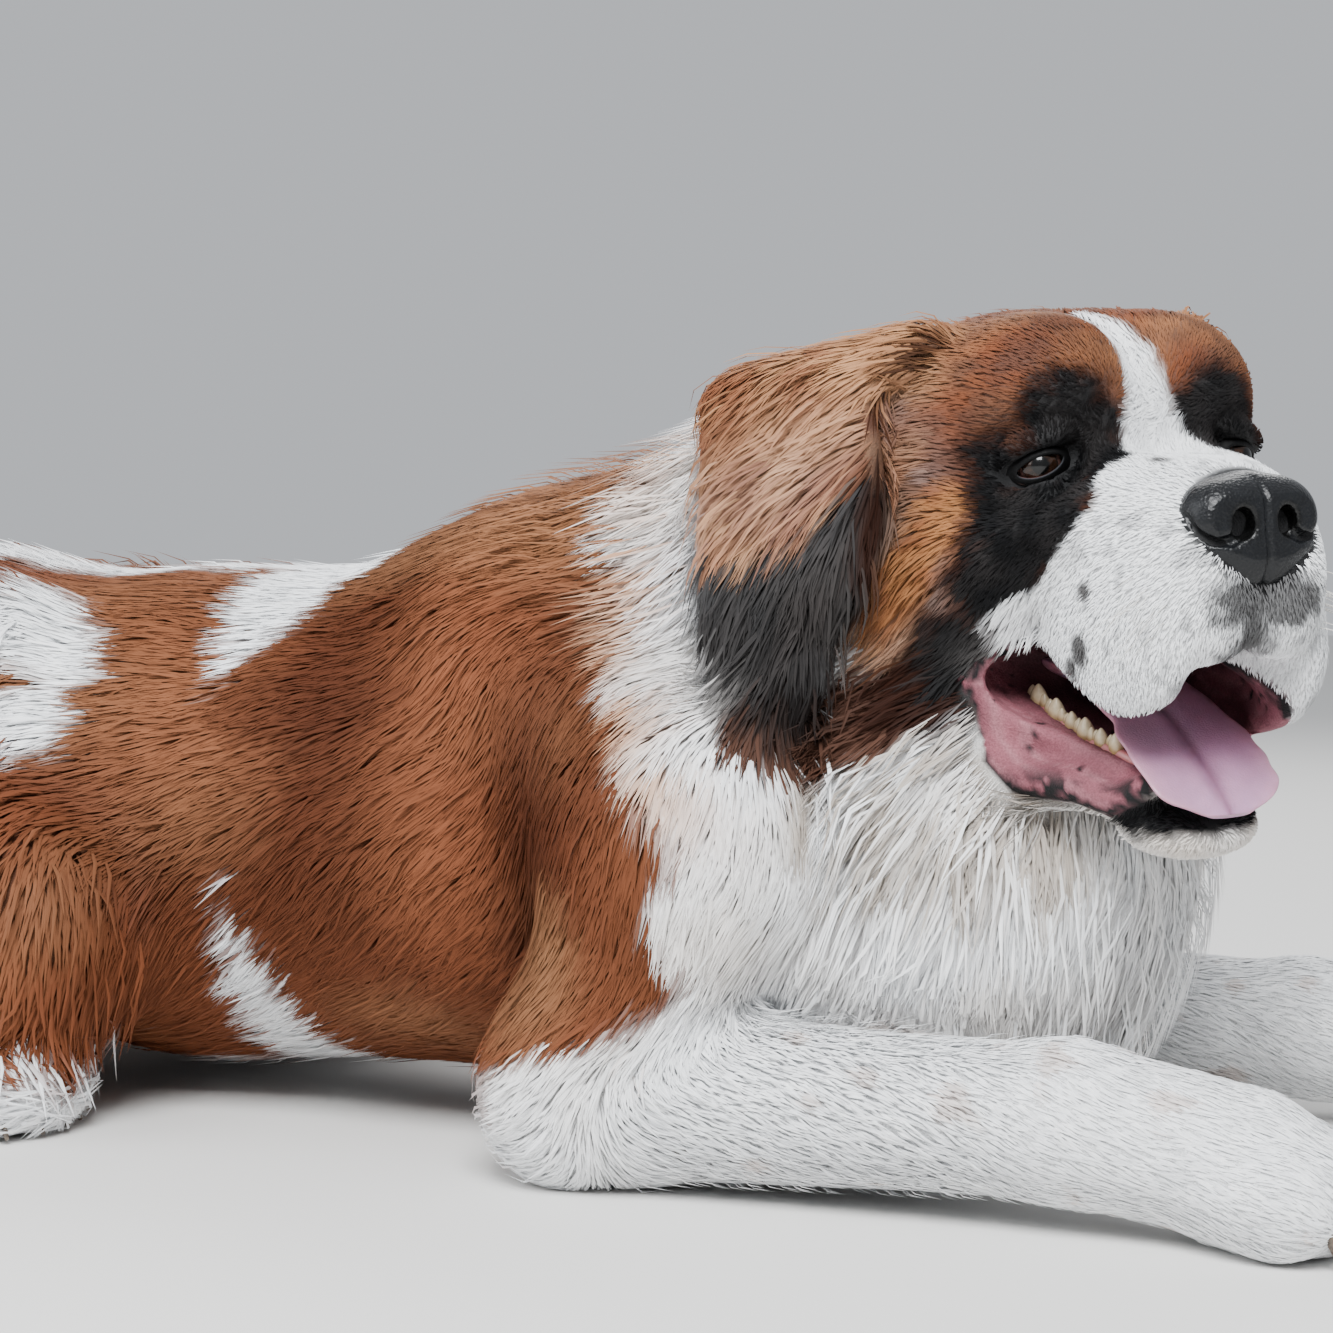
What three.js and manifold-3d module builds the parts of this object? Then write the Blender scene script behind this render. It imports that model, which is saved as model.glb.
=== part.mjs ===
// A long-coated Saint Bernard lying with its forelegs out in front, life-size, in millimetres.
// +X runs from the rump to the nose, +Y to the dog's left and +Z up from the floor it lies on.
// The body is one smooth form built of round masses that melt into one another. It is meshed on a
// grid and parted along the lines where one mass gives way to the next, so each part is one solid.
import * as THREE from "three";
import { mergeVertices } from "three/addons/utils/BufferGeometryUtils.js";
import Module from "manifold-3d";

const wasm = await Module();
wasm.setup();

// Driving dimensions
const BACK_HEIGHT = 372; // top of the withers above the floor, lying down, coat included
const CHEST_WIDTH = 330;
const CHEST_X = 160; // the deepest point of the chest
const RUMP_X = -290; // the middle of the pelvis
const ELBOW_X = 272;
const FOREARM = 270;
const LEG_SPREAD = 160; // from the middle of the body to each foreleg
const HEAD_PLACE = [548, -87, 386]; // midway between the eyes
const HEAD_TURN = -40; // degrees about Z, towards the dog's right
const HEAD_LIFT = 3; // degrees, nose up
const HEAD_TILT = 3; // degrees, crown towards the dog's right
const MUZZLE = 124; // from the line of the eyes to the tip of the nose
const EYE_SPACING = 112;
const EYE_RADIUS = 13;
const JAW_OPEN = 30; // degrees
const JAW_HINGE = [-92, 0, -48];
const GAP = 0.3; // between parts that touch
const BODY_CUT = 72; // grid of the surfaces that part the body into nodes
const HEAD_CUT = 33; // the same for the parts of the head

const BROWN = 0x8a4a24;
const WHITE = 0xe9e6e0;
const BLACK = 0x17171a;
const PINK = 0xc98a98;
const EYE_BROWN = 0x2c1a10;

// Smooth union of two distances, rounded over about k millimetres
const melt = (a, b, k) => {
  const h = Math.max(k - Math.abs(a - b), 0) / k;
  return Math.min(a, b) - (h * h * k) / 4;
};
const union = (k, ...fields) => (x, y, z) => fields.reduce((d, f) => melt(d, f(x, y, z), k), 1e6);
const carve = (k, field, hole) => (x, y, z) => -melt(-field(x, y, z), hole(x, y, z), k);

// An egg: distance to an ellipsoid, turned in its own XZ plane (pitch) and XY plane (yaw) in degrees
function egg([cx, cy, cz], [rx, ry, rz], pitch = 0, yaw = 0) {
  const [p, w] = [THREE.MathUtils.degToRad(pitch), THREE.MathUtils.degToRad(yaw)];
  const [cp, sp, cw, sw] = [Math.cos(p), Math.sin(p), Math.cos(w), Math.sin(w)];
  return (x, y, z) => {
    const [dx, dy, dz] = [x - cx, y - cy, z - cz];
    const along = cw * dx + sw * dy;
    const side = -sw * dx + cw * dy;
    const a = (cp * along + sp * dz) / rx;
    const b = side / ry;
    const c = (-sp * along + cp * dz) / rz;
    const k0 = Math.hypot(a, b, c);
    const k1 = Math.hypot(a / rx, b / ry, c / rz);
    return k1 < 1e-9 ? -Math.min(rx, ry, rz) : (k0 * (k0 - 1)) / k1;
  };
}

// A limb: distance to a rod whose radius changes evenly from a to b
function limb(a, b, ra, rb) {
  const d = [b[0] - a[0], b[1] - a[1], b[2] - a[2]];
  const length2 = d[0] ** 2 + d[1] ** 2 + d[2] ** 2;
  return (x, y, z) => {
    const t = ((x - a[0]) * d[0] + (y - a[1]) * d[1] + (z - a[2]) * d[2]) / length2;
    const s = Math.min(1, Math.max(0, t));
    const away = Math.hypot(x - a[0] - s * d[0], y - a[1] - s * d[1], z - a[2] - s * d[2]);
    return away - (ra + s * (rb - ra));
  };
}
const mirrored = (field) => (x, y, z) => field(x, -y, z);
const pair = (k, field) => union(k, field, mirrored(field));

// Torso: chest and belly barrels, the withers, the loin and the broad forechest
const torso = union(
  70,
  egg([CHEST_X, 0, 184], [210, CHEST_WIDTH / 2, 160]),
  egg([CHEST_X + 20, 0, BACK_HEIGHT - 78], [88, 58, 58]),
  egg([CHEST_X + 150, 0, 185], [120, 128, 140]),
  egg([-70, 0, 172], [225, CHEST_WIDTH / 2 + 8, 160]),
  egg([RUMP_X, 0, 200], [165, 138, 146]),
);

// Neck: thick and carried forward, with the throat and its bib hanging to the floor
const neck = union(
  70,
  limb([175, 0, 246], [405, -36, 356], 104, 98),
  egg([444, -32, 178], [126, 122, 140]),
  egg([402, -14, 88], [98, 104, 102]),
);

// Foreleg: the elbow, the forearm laid on the floor, pastern and paw. side is 1 for left
const elbowOf = (side, reach) => [ELBOW_X + reach, side * LEG_SPREAD * 1.06, 50];
function foreleg(side, reach, turn) {
  const rad = THREE.MathUtils.degToRad(turn);
  const elbow = elbowOf(side, reach);
  const along = (s) => [elbow[0] + s * Math.cos(rad), elbow[1] + s * Math.sin(rad)];
  const [wristX, wristY] = along(FOREARM);
  const [pawX, pawY] = along(FOREARM + 90);
  const toe = (spread, out) => {
    const [tx, ty] = along(FOREARM + 118 + out);
    return [tx - spread * Math.sin(rad), ty + spread * Math.cos(rad), 27];
  };
  return union(
    14,
    limb(elbow, [wristX, wristY, 54], 48, 38),
    limb([wristX, wristY, 54], [pawX, pawY, 40], 41, 38),
    egg([pawX + 14 * Math.cos(rad), pawY + 14 * Math.sin(rad), 30], [52, 48, 32], 0, turn),
    ...[-34, -12, 12, 34].map((spread) =>
      egg(toe(spread, 10 - Math.abs(spread) * 0.5), [27, 15, 24], -14, turn + spread * 0.25),
    ),
  );
}

// Shoulder: the shoulder blade on the ribs, and the upper arm back down to the elbow
function shoulder(side, reach) {
  const y = side * LEG_SPREAD;
  return union(
    50,
    limb([CHEST_X + 10, side * 72, BACK_HEIGHT - 95], [CHEST_X + 160, y * 0.82, 190], 58, 72),
    limb([CHEST_X + 165, y * 0.87, 180], elbowOf(side, reach), 72, 50),
  );
}

// Hind leg folded beside the belly: thigh, lower leg back to the hock, and the foot forward
function hindleg(side) {
  const y = side * 188;
  const knee = [-95, y * 0.97, 118];
  const hock = [-345, y * 0.98, 50];
  const foot = [-165, y * 1.1, 36];
  return union(
    40,
    egg([-230, side * 112, 178], [160, 88, 150], 12, side * -6),
    limb([-220, side * 130, 190], knee, 96, 70),
    limb(knee, hock, 62, 36),
    limb(hock, foot, 36, 36),
    egg([foot[0] + 34, foot[1], 30], [56, 46, 31]),
    ...[-32, -11, 11, 32].map((spread) =>
      egg([foot[0] + 82 - Math.abs(spread) * 0.4, foot[1] + spread, 25], [25, 14, 22], -14),
    ),
  );
}

// Tail: from the rump down to the floor and round towards the right hind foot
const TAIL_LINE = [
  [-395, 0, 215],
  [-470, -14, 130],
  [-520, -60, 66],
  [-535, -140, 46],
  [-505, -225, 42],
  [-440, -288, 38],
];
const TAIL_RADII = [56, 50, 46, 44, 40, 30];
const tailLimbs = TAIL_LINE.slice(1).map((end, i) => {
  return limb(TAIL_LINE[i], end, TAIL_RADII[i], TAIL_RADII[i + 1]);
});
const tailRoot = union(30, ...tailLimbs.slice(0, 2));
const tailTip = union(30, ...tailLimbs.slice(2));

// Head, in its own frame: +X along the muzzle, origin midway between the eyes
const skull = union(
  30,
  egg([-84, 0, 14], [100, 92, 76]),
  pair(20, egg([-60, 46, 32], [76, 46, 46])),
  pair(16, egg([-18, 36, 38], [32, 34, 32])),
  pair(20, egg([-78, 60, -38], [82, 48, 72], 8)),
  pair(16, egg([18, 34, -30], [46, 34, 32])),
);
const muzzle = union(
  18,
  egg([48, 0, -30], [68, 32, 29]),
  pair(14, egg([58, 25, -54], [56, 29, 46])),
  egg([42, -41, -90], [58, 22, 43], -6),
  egg([38, 43, -97], [56, 22, 47], -6),
  egg([-6, 58, -98], [48, 17, 40], -8),
  pair(10, egg([93, 16, -74], [22, 23, 30])),
);
const orbit = pair(1, egg([24, EYE_SPACING / 2 + 9, 1], [24, 22, 15], 0, 20));

// An ear: a folded root and a soft flap fanned out from the fold down to its tip
const ear = (side, out) => {
  const at = (x, y, z) => [x, side * (y + out * (y - 76)), z];
  const cup = egg(at(-60, 96, 4), [12, 9, 40], 0, side * -40);
  const flap = union(
    22,
    limb(at(-64, 80, 64), at(-142, 140, 48), 22, 23),
    limb(at(-60, 98, 44), at(-66, 134, -58), 15, 14),
    limb(at(-78, 108, 46), at(-80, 148, -100), 16, 15),
    limb(at(-98, 122, 46), at(-98, 160, -122), 17, 14),
    limb(at(-124, 134, 44), at(-112, 164, -104), 18, 15),
    limb(at(-150, 146, 38), at(-126, 166, -70), 18, 15),
  );
  return carve(6, flap, cup);
};

// Lower jaw, in the head's frame with the mouth shut, then swung open about its hinge
const jawShut = union(
  16,
  pair(10, limb([-64, 46, -78], [56, 24, -88], 25, 20)),
  egg([72, 0, -84], [34, 34, 22]),
  egg([-10, 0, -86], [84, 40, 22]),
  pair(8, limb([-24, 50, -96], [52, 33, -88], 13, 9)),
);
function swung(field) {
  const rad = THREE.MathUtils.degToRad(JAW_OPEN);
  const [c, s] = [Math.cos(rad), Math.sin(rad)];
  const [hx, , hz] = JAW_HINGE;
  return (x, y, z) => {
    const [dx, dz] = [x - hx, z - hz];
    return field(hx + c * dx - s * dz, y, hz + s * dx + c * dz);
  };
}
const jaw = swung(jawShut);
const mouth = union(
  14,
  egg([34, -4, -130], [92, 42, 27], -16),
  egg([-14, -42, -114], [56, 34, 19], -18),
  egg([-14, 28, -114], [56, 30, 19], -18),
);

// The head's frame in the dog's frame
const headMatrix = new THREE.Matrix4()
  .makeTranslation(...HEAD_PLACE)
  .multiply(new THREE.Matrix4().makeRotationZ(THREE.MathUtils.degToRad(HEAD_TURN)))
  .multiply(new THREE.Matrix4().makeRotationY(THREE.MathUtils.degToRad(-HEAD_LIFT)))
  .multiply(new THREE.Matrix4().makeRotationX(THREE.MathUtils.degToRad(HEAD_TILT)));
const intoHead = headMatrix.clone().invert().elements;
const onHead = (field) => (x, y, z) =>
  field(
    intoHead[0] * x + intoHead[4] * y + intoHead[8] * z + intoHead[12],
    intoHead[1] * x + intoHead[5] * y + intoHead[9] * z + intoHead[13],
    intoHead[2] * x + intoHead[6] * y + intoHead[10] * z + intoHead[14],
  );

// Every mass of the body by name, each with its own distance
const masses = {
  torso,
  neck,
  shoulder_right: shoulder(-1, 0),
  shoulder_left: shoulder(1, 34),
  foreleg_right: foreleg(-1, 0, 3),
  foreleg_left: foreleg(1, 34, 2),
  hindleg_right: hindleg(-1),
  hindleg_left: hindleg(1),
  tail_root: tailRoot,
  tail_tip: tailTip,
  head: onHead(carve(10, union(22, skull, muzzle), orbit)),
  lower_jaw: onHead(jaw),
  ear_right: onHead(ear(-1, 0.12)),
  ear_left: onHead(ear(1, -0.4)),
};
const mouthHole = onHead(mouth);

// The whole body: legs, tail and head melted on by amounts that suit each joint, mouth cut, floor flat
const m = masses;
const headWhole = carve(6, union(12, union(16, m.head, m.lower_jaw), m.ear_right, m.ear_left), mouthHole);
const trunk = union(44, union(70, m.torso, m.neck), m.hindleg_right, m.hindleg_left);
const armRight = union(40, m.shoulder_right, m.foreleg_right);
const armLeft = union(40, m.shoulder_left, m.foreleg_left);
const armed = union(26, trunk, armRight, armLeft);
const limbed = union(26, armed, union(26, m.tail_root, m.tail_tip));
const whole = union(30, limbed, headWhole);
const body = (x, y, z) => Math.max(whole(x, y, z), -z);

// Grid of values over a box, with its corner on the shared lattice of that cell size
function sample(field, box, cell) {
  const low = box.min.toArray().map((v) => Math.floor(v / cell) - 2);
  const high = box.max.toArray().map((v) => Math.ceil(v / cell) + 2);
  const [nx, ny, nz] = high.map((v, i) => v - low[i] + 1);
  const values = new Float64Array(nx * ny * nz);
  const shift = cell * 0.37; // keeps grid planes off the floor and the middle plane
  const place = (...cube) => cube.map((v, a) => (low[a] + v) * cell + shift);
  let n = 0;
  for (let k = 0; k < nz; k++) {
    for (let j = 0; j < ny; j++) {
      for (let i = 0; i < nx; i++) {
        values[n] = field(...place(i, j, k));
        n += 1;
      }
    }
  }
  return { values, nx, ny, nz, place };
}

// Cube corners, edges and faces for the grid mesh below; a face lists its corners in turn
const CORNERS = [0, 1, 2, 3, 4, 5, 6, 7].map((c) => [c & 1, (c >> 1) & 1, (c >> 2) & 1]);
const EDGES = [
  [0, 1], [2, 3], [4, 5], [6, 7],
  [0, 2], [1, 3], [4, 6], [5, 7],
  [0, 4], [1, 5], [2, 6], [3, 7],
];
const FACES = [[0, 1, 3, 2], [4, 5, 7, 6], [0, 1, 5, 4], [2, 3, 7, 6], [0, 2, 6, 4], [1, 3, 7, 5]];
const edgeOf = (a, b) => EDGES.findIndex(([p, q]) => (p === a && q === b) || (p === b && q === a));

// The sheets of surface that pass through a cube, as the group number of each of its twelve edges.
// Two crossed edges of a face belong together; where all four are crossed, each inside corner keeps
// its own two.
const sheetTable = Array.from({ length: 256 }, (_, sign) => {
  const isIn = (c) => (sign >> c) & 1;
  const group = EDGES.map(([a, b], n) => (isIn(a) !== isIn(b) ? n : -1));
  const join = (a, b) => {
    const [from, to] = [group[a], group[b]];
    group.forEach((g, n) => {
      if (g === from) group[n] = to;
    });
  };
  for (const face of FACES) {
    const ring = face.map((c, n) => edgeOf(c, face[(n + 1) % 4]));
    const crossed = ring.filter((e) => group[e] >= 0);
    if (crossed.length === 2) join(crossed[0], crossed[1]);
    if (crossed.length === 4) face.forEach((c, n) => isIn(c) && join(ring[n], ring[(n + 3) % 4]));
  }
  const names = [...new Set(group.filter((g) => g >= 0))];
  return { group: group.map((g) => names.indexOf(g)), count: names.length };
});

// Closed mesh of a field's zero surface: one vertex for each sheet in each crossed cube of the grid,
// one quad across each crossed grid edge
function net(field, box, cell) {
  const { values, nx, ny, nz, place } = sample(field, box, cell);
  const at = (i, j, k) => i + nx * (j + ny * k);
  const first = new Int32Array(nx * ny * nz).fill(-1);
  const signs = new Uint8Array(nx * ny * nz);
  const points = [];
  for (let k = 0; k < nz - 1; k++)
    for (let j = 0; j < ny - 1; j++)
      for (let i = 0; i < nx - 1; i++) {
        const v = CORNERS.map(([a, b, c]) => values[at(i + a, j + b, k + c)]);
        const sign = v.reduce((bits, value, c) => bits | (value < 0 ? 1 << c : 0), 0);
        if (sign === 0 || sign === 255) continue;
        const { group, count } = sheetTable[sign];
        signs[at(i, j, k)] = sign;
        first[at(i, j, k)] = points.length / 3;
        const origin = place(i, j, k);
        for (let g = 0; g < count; g++) {
          const hits = EDGES.filter((_, n) => group[n] === g).map(([a, b]) => {
            const t = v[a] / (v[a] - v[b]);
            return CORNERS[a].map((p, n) => p + t * (CORNERS[b][n] - p));
          });
          for (let n = 0; n < 3; n++) {
            points.push(origin[n] + (cell * hits.reduce((sum, hit) => sum + hit[n], 0)) / hits.length);
          }
        }
      }
  const faces = [];
  const quad = (cells, edges, flip) => {
    const [a, b, c, d] = cells.map((n, e) => first[n] + sheetTable[signs[n]].group[edges[e]]);
    faces.push(...(flip ? [a, c, b, a, d, c] : [a, b, c, a, c, d]));
  };
  for (let k = 1; k < nz - 1; k++)
    for (let j = 1; j < ny - 1; j++)
      for (let i = 1; i < nx - 1; i++) {
        const here = values[at(i, j, k)] < 0;
        if (here !== values[at(i + 1, j, k)] < 0)
          quad([at(i, j - 1, k - 1), at(i, j, k - 1), at(i, j, k), at(i, j - 1, k)], [3, 2, 0, 1], !here);
        if (here !== values[at(i, j + 1, k)] < 0)
          quad([at(i - 1, j, k - 1), at(i - 1, j, k), at(i, j, k), at(i, j, k - 1)], [7, 5, 4, 6], !here);
        if (here !== values[at(i, j, k + 1)] < 0)
          quad([at(i - 1, j - 1, k), at(i, j - 1, k), at(i, j, k), at(i - 1, j, k)], [11, 10, 8, 9], !here);
      }
  return { points, faces };
}
function netMesh(field, box, cell) {
  const { points, faces } = net(field, box, cell);
  settle(points, field, cell);
  return solidFrom(points, faces);
}

// Moves each grid vertex onto the exact surface, and those at the floor onto the floor
function settle(points, field, cell) {
  const e = 0.5;
  for (let n = 0; n < points.length; n += 3)
    for (let pass = 0; pass < 3; pass++) {
      const [x, y, z] = points.slice(n, n + 3);
      const d = field(x, y, z);
      const g = [
        field(x + e, y, z) - field(x - e, y, z),
        field(x, y + e, z) - field(x, y - e, z),
        field(x, y, z + e) - field(x, y, z - e),
      ].map((v) => v / (2 * e));
      const length2 = Math.max(g[0] ** 2 + g[1] ** 2 + g[2] ** 2, 0.25);
      const step = Math.max(-cell * 0.3, Math.min(cell * 0.3, d)) / length2;
      for (let a = 0; a < 3; a++) points[n + a] -= g[a] * step;
      if (points[n + 2] < 0.02) points[n + 2] = 0;
    }
}

function solidFrom(points, faces) {
  return new wasm.Manifold(
    new wasm.Mesh({ numProp: 3, vertProperties: new Float32Array(points), triVerts: new Uint32Array(faces) }),
  );
}

// The same closed mesh with every vertex moved inwards along its normal
function shrunk({ points, faces }, by) {
  const geometry = new THREE.BufferGeometry();
  geometry.setAttribute("position", new THREE.BufferAttribute(new Float32Array(points), 3));
  geometry.setIndex(faces);
  geometry.computeVertexNormals();
  const normals = geometry.getAttribute("normal").array;
  return solidFrom(points.map((v, n) => v - by * normals[n]), faces);
}

const largest = (solid) => solid.decompose().reduce((a, b) => (b.volume() > a.volume() ? b : a));

// The region that belongs to one mass among several, where its distance is the least: a coarse closed
// surface that cuts its neighbours, and the same a little smaller to cut the node itself
const HOME = new THREE.Box3(new THREE.Vector3(-640, -400, -60), new THREE.Vector3(760, 330, 560));
const FACE = new THREE.Box3(new THREE.Vector3(240, -330, 90), new THREE.Vector3(740, 160, 540));
function region(own, others, home, cell) {
  const bounded = (x, y, z) => {
    const low = [home.min.x - x, home.min.y - y, home.min.z - z];
    const high = [x - home.max.x, y - home.max.y, z - home.max.z];
    const nearest = Math.min(...others.map((other) => other(x, y, z)));
    return Math.max(own(x, y, z) - nearest, ...low, ...high);
  };
  const surface = net(bounded, home.clone().expandByScalar(cell), cell);
  const outer = solidFrom(surface.points, surface.faces);
  return { outer, inner: shrunk(surface, 2 * GAP).intersect(outer) };
}
const HEAD_PARTS = ["lower_jaw", "ear_right", "ear_left", "head"];
const ofHead = (x, y, z) => Math.min(...HEAD_PARTS.map((part) => masses[part](x, y, z)));
const BODY_PARTS = Object.keys(masses).filter((part) => !HEAD_PARTS.includes(part));
const share = { wholeHead: region(ofHead, BODY_PARTS.map((part) => masses[part]), HOME, BODY_CUT) };
for (const part of HEAD_PARTS.slice(0, 3)) {
  const rest = HEAD_PARTS.filter((other) => other !== part).map((other) => masses[other]);
  share[part] = region(masses[part], rest, FACE, HEAD_CUT);
}
for (const part of BODY_PARTS.filter((name) => name !== "torso")) {
  const rest = BODY_PARTS.filter((other) => other !== part).map((other) => masses[other]);
  share[part] = region(masses[part], [...rest, ofHead], HOME, BODY_CUT);
}

// Box round a node, and the grid that meshes its outer surface
const NODES = {
  head: { box: [[330, -300, 160], [720, 110, 540]], cell: 16.2, colour: BROWN },
  lower_jaw: { box: [[380, -230, 110], [710, 60, 360]], cell: 16, colour: WHITE },
  ear_right: { box: [[240, -320, 120], [560, -60, 520]], cell: 22, colour: BROWN },
  ear_left: { box: [[330, -80, 120], [640, 180, 520]], cell: 21, colour: BROWN },
  neck: { box: [[60, -260, -30], [640, 200, 520]], cell: 50, colour: WHITE },
  shoulder_right: { box: [[60, -290, -30], [480, 0, 400]], cell: 37, colour: BROWN },
  shoulder_left: { box: [[60, 0, -30], [480, 290, 400]], cell: 37, colour: BROWN },
  foreleg_right: { box: [[180, -290, -30], [730, -60, 200]], cell: 24, colour: WHITE },
  foreleg_left: { box: [[180, 60, -30], [760, 290, 200]], cell: 24, colour: WHITE },
  hindleg_right: { box: [[-460, -310, -30], [100, 0, 400]], cell: 40, colour: BROWN },
  hindleg_left: { box: [[-460, 0, -30], [100, 310, 400]], cell: 40, colour: BROWN },
  tail_root: { box: [[-630, -200, -30], [-300, 120, 330]], cell: 34, colour: BROWN },
  tail_tip: { box: [[-630, -370, -30], [-330, 0, 160]], cell: 28, colour: BROWN },
  torso: { box: [[-520, -240, -30], [500, 240, 450]], cell: 56, colour: BROWN },
};

// Coat: where it is long the body's surface sinks by half the coat's depth, fading out at the seams,
// and tapered locks stand over it to the coat's full depth.
const COAT = {
  neck: 20,
  tail_root: 20,
  tail_tip: 26,
  ear_right: 12,
  ear_left: 12,
  hindleg_right: 12,
  hindleg_left: 12,
};
function coatDepth(x, y, z) {
  let depth = 0;
  for (const [name, full] of Object.entries(COAT)) {
    const own = masses[name](x, y, z);
    if (own > 40 || own < -60) continue;
    const others = Object.keys(masses).filter((other) => other !== name);
    const lead = Math.min(...others.map((other) => masses[other](x, y, z))) - own;
    depth = Math.max(depth, full * THREE.MathUtils.smoothstep(lead, 4, 55));
  }
  return depth;
}
const core = (x, y, z) => {
  const d = body(x, y, z);
  return Math.abs(d) > 60 ? d : Math.max(whole(x, y, z) + coatDepth(x, y, z) / 2, -z);
};

let seed = 20;
function chance() {
  seed = (seed * 1664525 + 1013904223) % 4294967296;
  return seed / 4294967296;
}
const slope = (field, p, e = 2) =>
  new THREE.Vector3(
    field(p.x + e, p.y, p.z) - field(p.x - e, p.y, p.z),
    field(p.x, p.y + e, p.z) - field(p.x, p.y - e, p.z),
    field(p.x, p.y, p.z + e) - field(p.x, p.y, p.z - e),
  ).normalize();

// A lock rooted where the line between two points meets the coat's core, laid along the flow and
// lifted to the coat's full depth: rings of four corners that taper to a tip
function lock(from, toward, flow, length, width, lift) {
  const root = from.clone();
  const aim = toward.clone().sub(from).normalize();
  for (let n = 0; n < 60 && core(root.x, root.y, root.z) > 0.5; n++) {
    root.addScaledVector(aim, Math.max(1, core(root.x, root.y, root.z) * 0.6));
  }
  const out = slope(core, root);
  const along = flow.clone().addScaledVector(out, -flow.dot(out)).normalize();
  const sway = (chance() - 0.5) * 0.35;
  along.applyAxisAngle(out, sway);
  const size = length * (0.85 + 0.3 * chance());
  const place = root.clone();
  const spine = [place.clone().addScaledVector(out, -14).addScaledVector(along, -8)];
  for (const [step, height] of [[0.34, lift * 0.45], [0.36, lift * 0.95], [0.3, lift]]) {
    place.addScaledVector(along, size * step);
    const under = core(place.x, place.y, place.z);
    place.addScaledVector(slope(core, place), -under);
    spine.push(place.clone().addScaledVector(slope(core, place), height));
  }
  const rings = spine.slice(0, 3).map((centre, n) => {
    const ahead = spine[n + 1].clone().sub(centre).normalize();
    const side = new THREE.Vector3().crossVectors(out, ahead).normalize();
    const up = new THREE.Vector3().crossVectors(ahead, side).normalize();
    const [w, h] = [width * [0.42, 0.5, 0.36][n], lift * [0.5, 0.42, 0.3][n] + 2];
    return [[w, 0], [0, h], [-w, 0], [0, -h]].map(([a, b]) => {
      return centre.clone().addScaledVector(side, a).addScaledVector(up, b);
    });
  });
  const points = [...rings.flat(), spine[3]].flatMap((p) => [p.x, p.y, Math.max(p.z, 0.4)]);
  const faces = [0, 2, 1, 0, 3, 2];
  for (let ring = 0; ring < 2; ring++) {
    for (let n = 0; n < 4; n++) {
      const [a, b] = [ring * 4 + n, ring * 4 + ((n + 1) % 4)];
      faces.push(a, b, b + 4, a, b + 4, a + 4);
    }
  }
  for (let n = 0; n < 4; n++) faces.push(8 + n, 8 + ((n + 1) % 4), 12);
  return solidFrom(points, faces);
}
const vec = (x, y, z) => new THREE.Vector3(x, y, z);
const locks = Object.fromEntries(Object.keys(NODES).map((name) => [name, []]));

// Bib and throat: rows that hang down the front of the chest
for (const [row, [z, count]] of [[262, 7], [205, 8], [148, 8], [92, 7], [44, 6]].entries()) {
  for (let n = 0; n < count; n++) {
    const angle = THREE.MathUtils.degToRad(-92 + ((n + 0.5 * (row % 2)) * 184) / (count - 0.5));
    const [ax, ay] = [430, -26];
    const from = vec(ax + 300 * Math.cos(angle), ay + 300 * Math.sin(angle), z);
    const down = vec(0.1 * Math.cos(angle), 0.1 * Math.sin(angle), -1);
    locks.neck.push(lock(from, vec(ax, ay, z), down, 86, 56, 15));
  }
}
// Mane: rows over the sides and top of the neck, swept back
for (const [row, x] of [215, 272, 330].entries()) {
  for (let n = 0; n < 6; n++) {
    const angle = THREE.MathUtils.degToRad(-82 + (n + 0.5 * (row % 2)) * 30);
    const from = vec(x, 320 * Math.sin(angle), 300 + 320 * Math.cos(angle));
    locks.neck.push(lock(from, vec(x, -16, 300), vec(-1, 0, -0.5), 84, 56, 10));
  }
}
// Tail: a plume all along it, swept towards the tip and out
for (let n = 0; n < 14; n++) {
  const t = 0.4 + (n * 4.4) / 14;
  const leg = Math.min(4, Math.floor(t));
  const [a, b] = [vec(...TAIL_LINE[leg]), vec(...TAIL_LINE[leg + 1])];
  const on = a.clone().lerp(b, t - leg);
  const run = b.clone().sub(a).normalize();
  const round = vec(0, 0, 1).cross(run).normalize();
  const out = (n % 3) - 1 === 0 ? vec(0, 0, 1) : round.multiplyScalar((n % 3) - 1);
  const name = t < 2 ? "tail_root" : "tail_tip";
  const from = on.clone().addScaledVector(out, 150);
  locks[name].push(lock(from, on, run.addScaledVector(out, 0.25), 96, 44, 18));
}
// Breeches: the long hair at the back of each thigh
for (const side of [1, -1]) {
  for (const [y, z] of [[60, 250], [105, 262], [70, 190], [125, 195], [100, 130], [140, 120]]) {
    const name = side > 0 ? "hindleg_left" : "hindleg_right";
    const from = vec(-620, side * y * 1.3, z);
    locks[name].push(lock(from, vec(-240, side * y, z), vec(-0.3, side * 0.1, -1), 88, 50, 13));
  }
}
// Ears: hair that falls from the fold and makes a fringe round the lower edge
const EAR_LOCKS = [
  [-90, 118, 30],
  [-124, 140, 20],
  [-76, 132, -20],
  [-108, 150, -36],
  [-134, 156, -20],
  [-86, 148, -70],
  [-112, 162, -80],
];
for (const side of [1, -1]) {
  const spread = side > 0 ? -0.4 : 0.12;
  for (const [x, y, z] of EAR_LOCKS) {
    const wide = y + spread * (y - 76);
    const at = (out) => vec(x, side * (wide + out), z + out * 0.1).applyMatrix4(headMatrix);
    const down = vec(-0.25, 0, -1);
    locks[side > 0 ? "ear_left" : "ear_right"].push(lock(at(70), at(-20), down, 62, 36, 8));
  }
}
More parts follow.
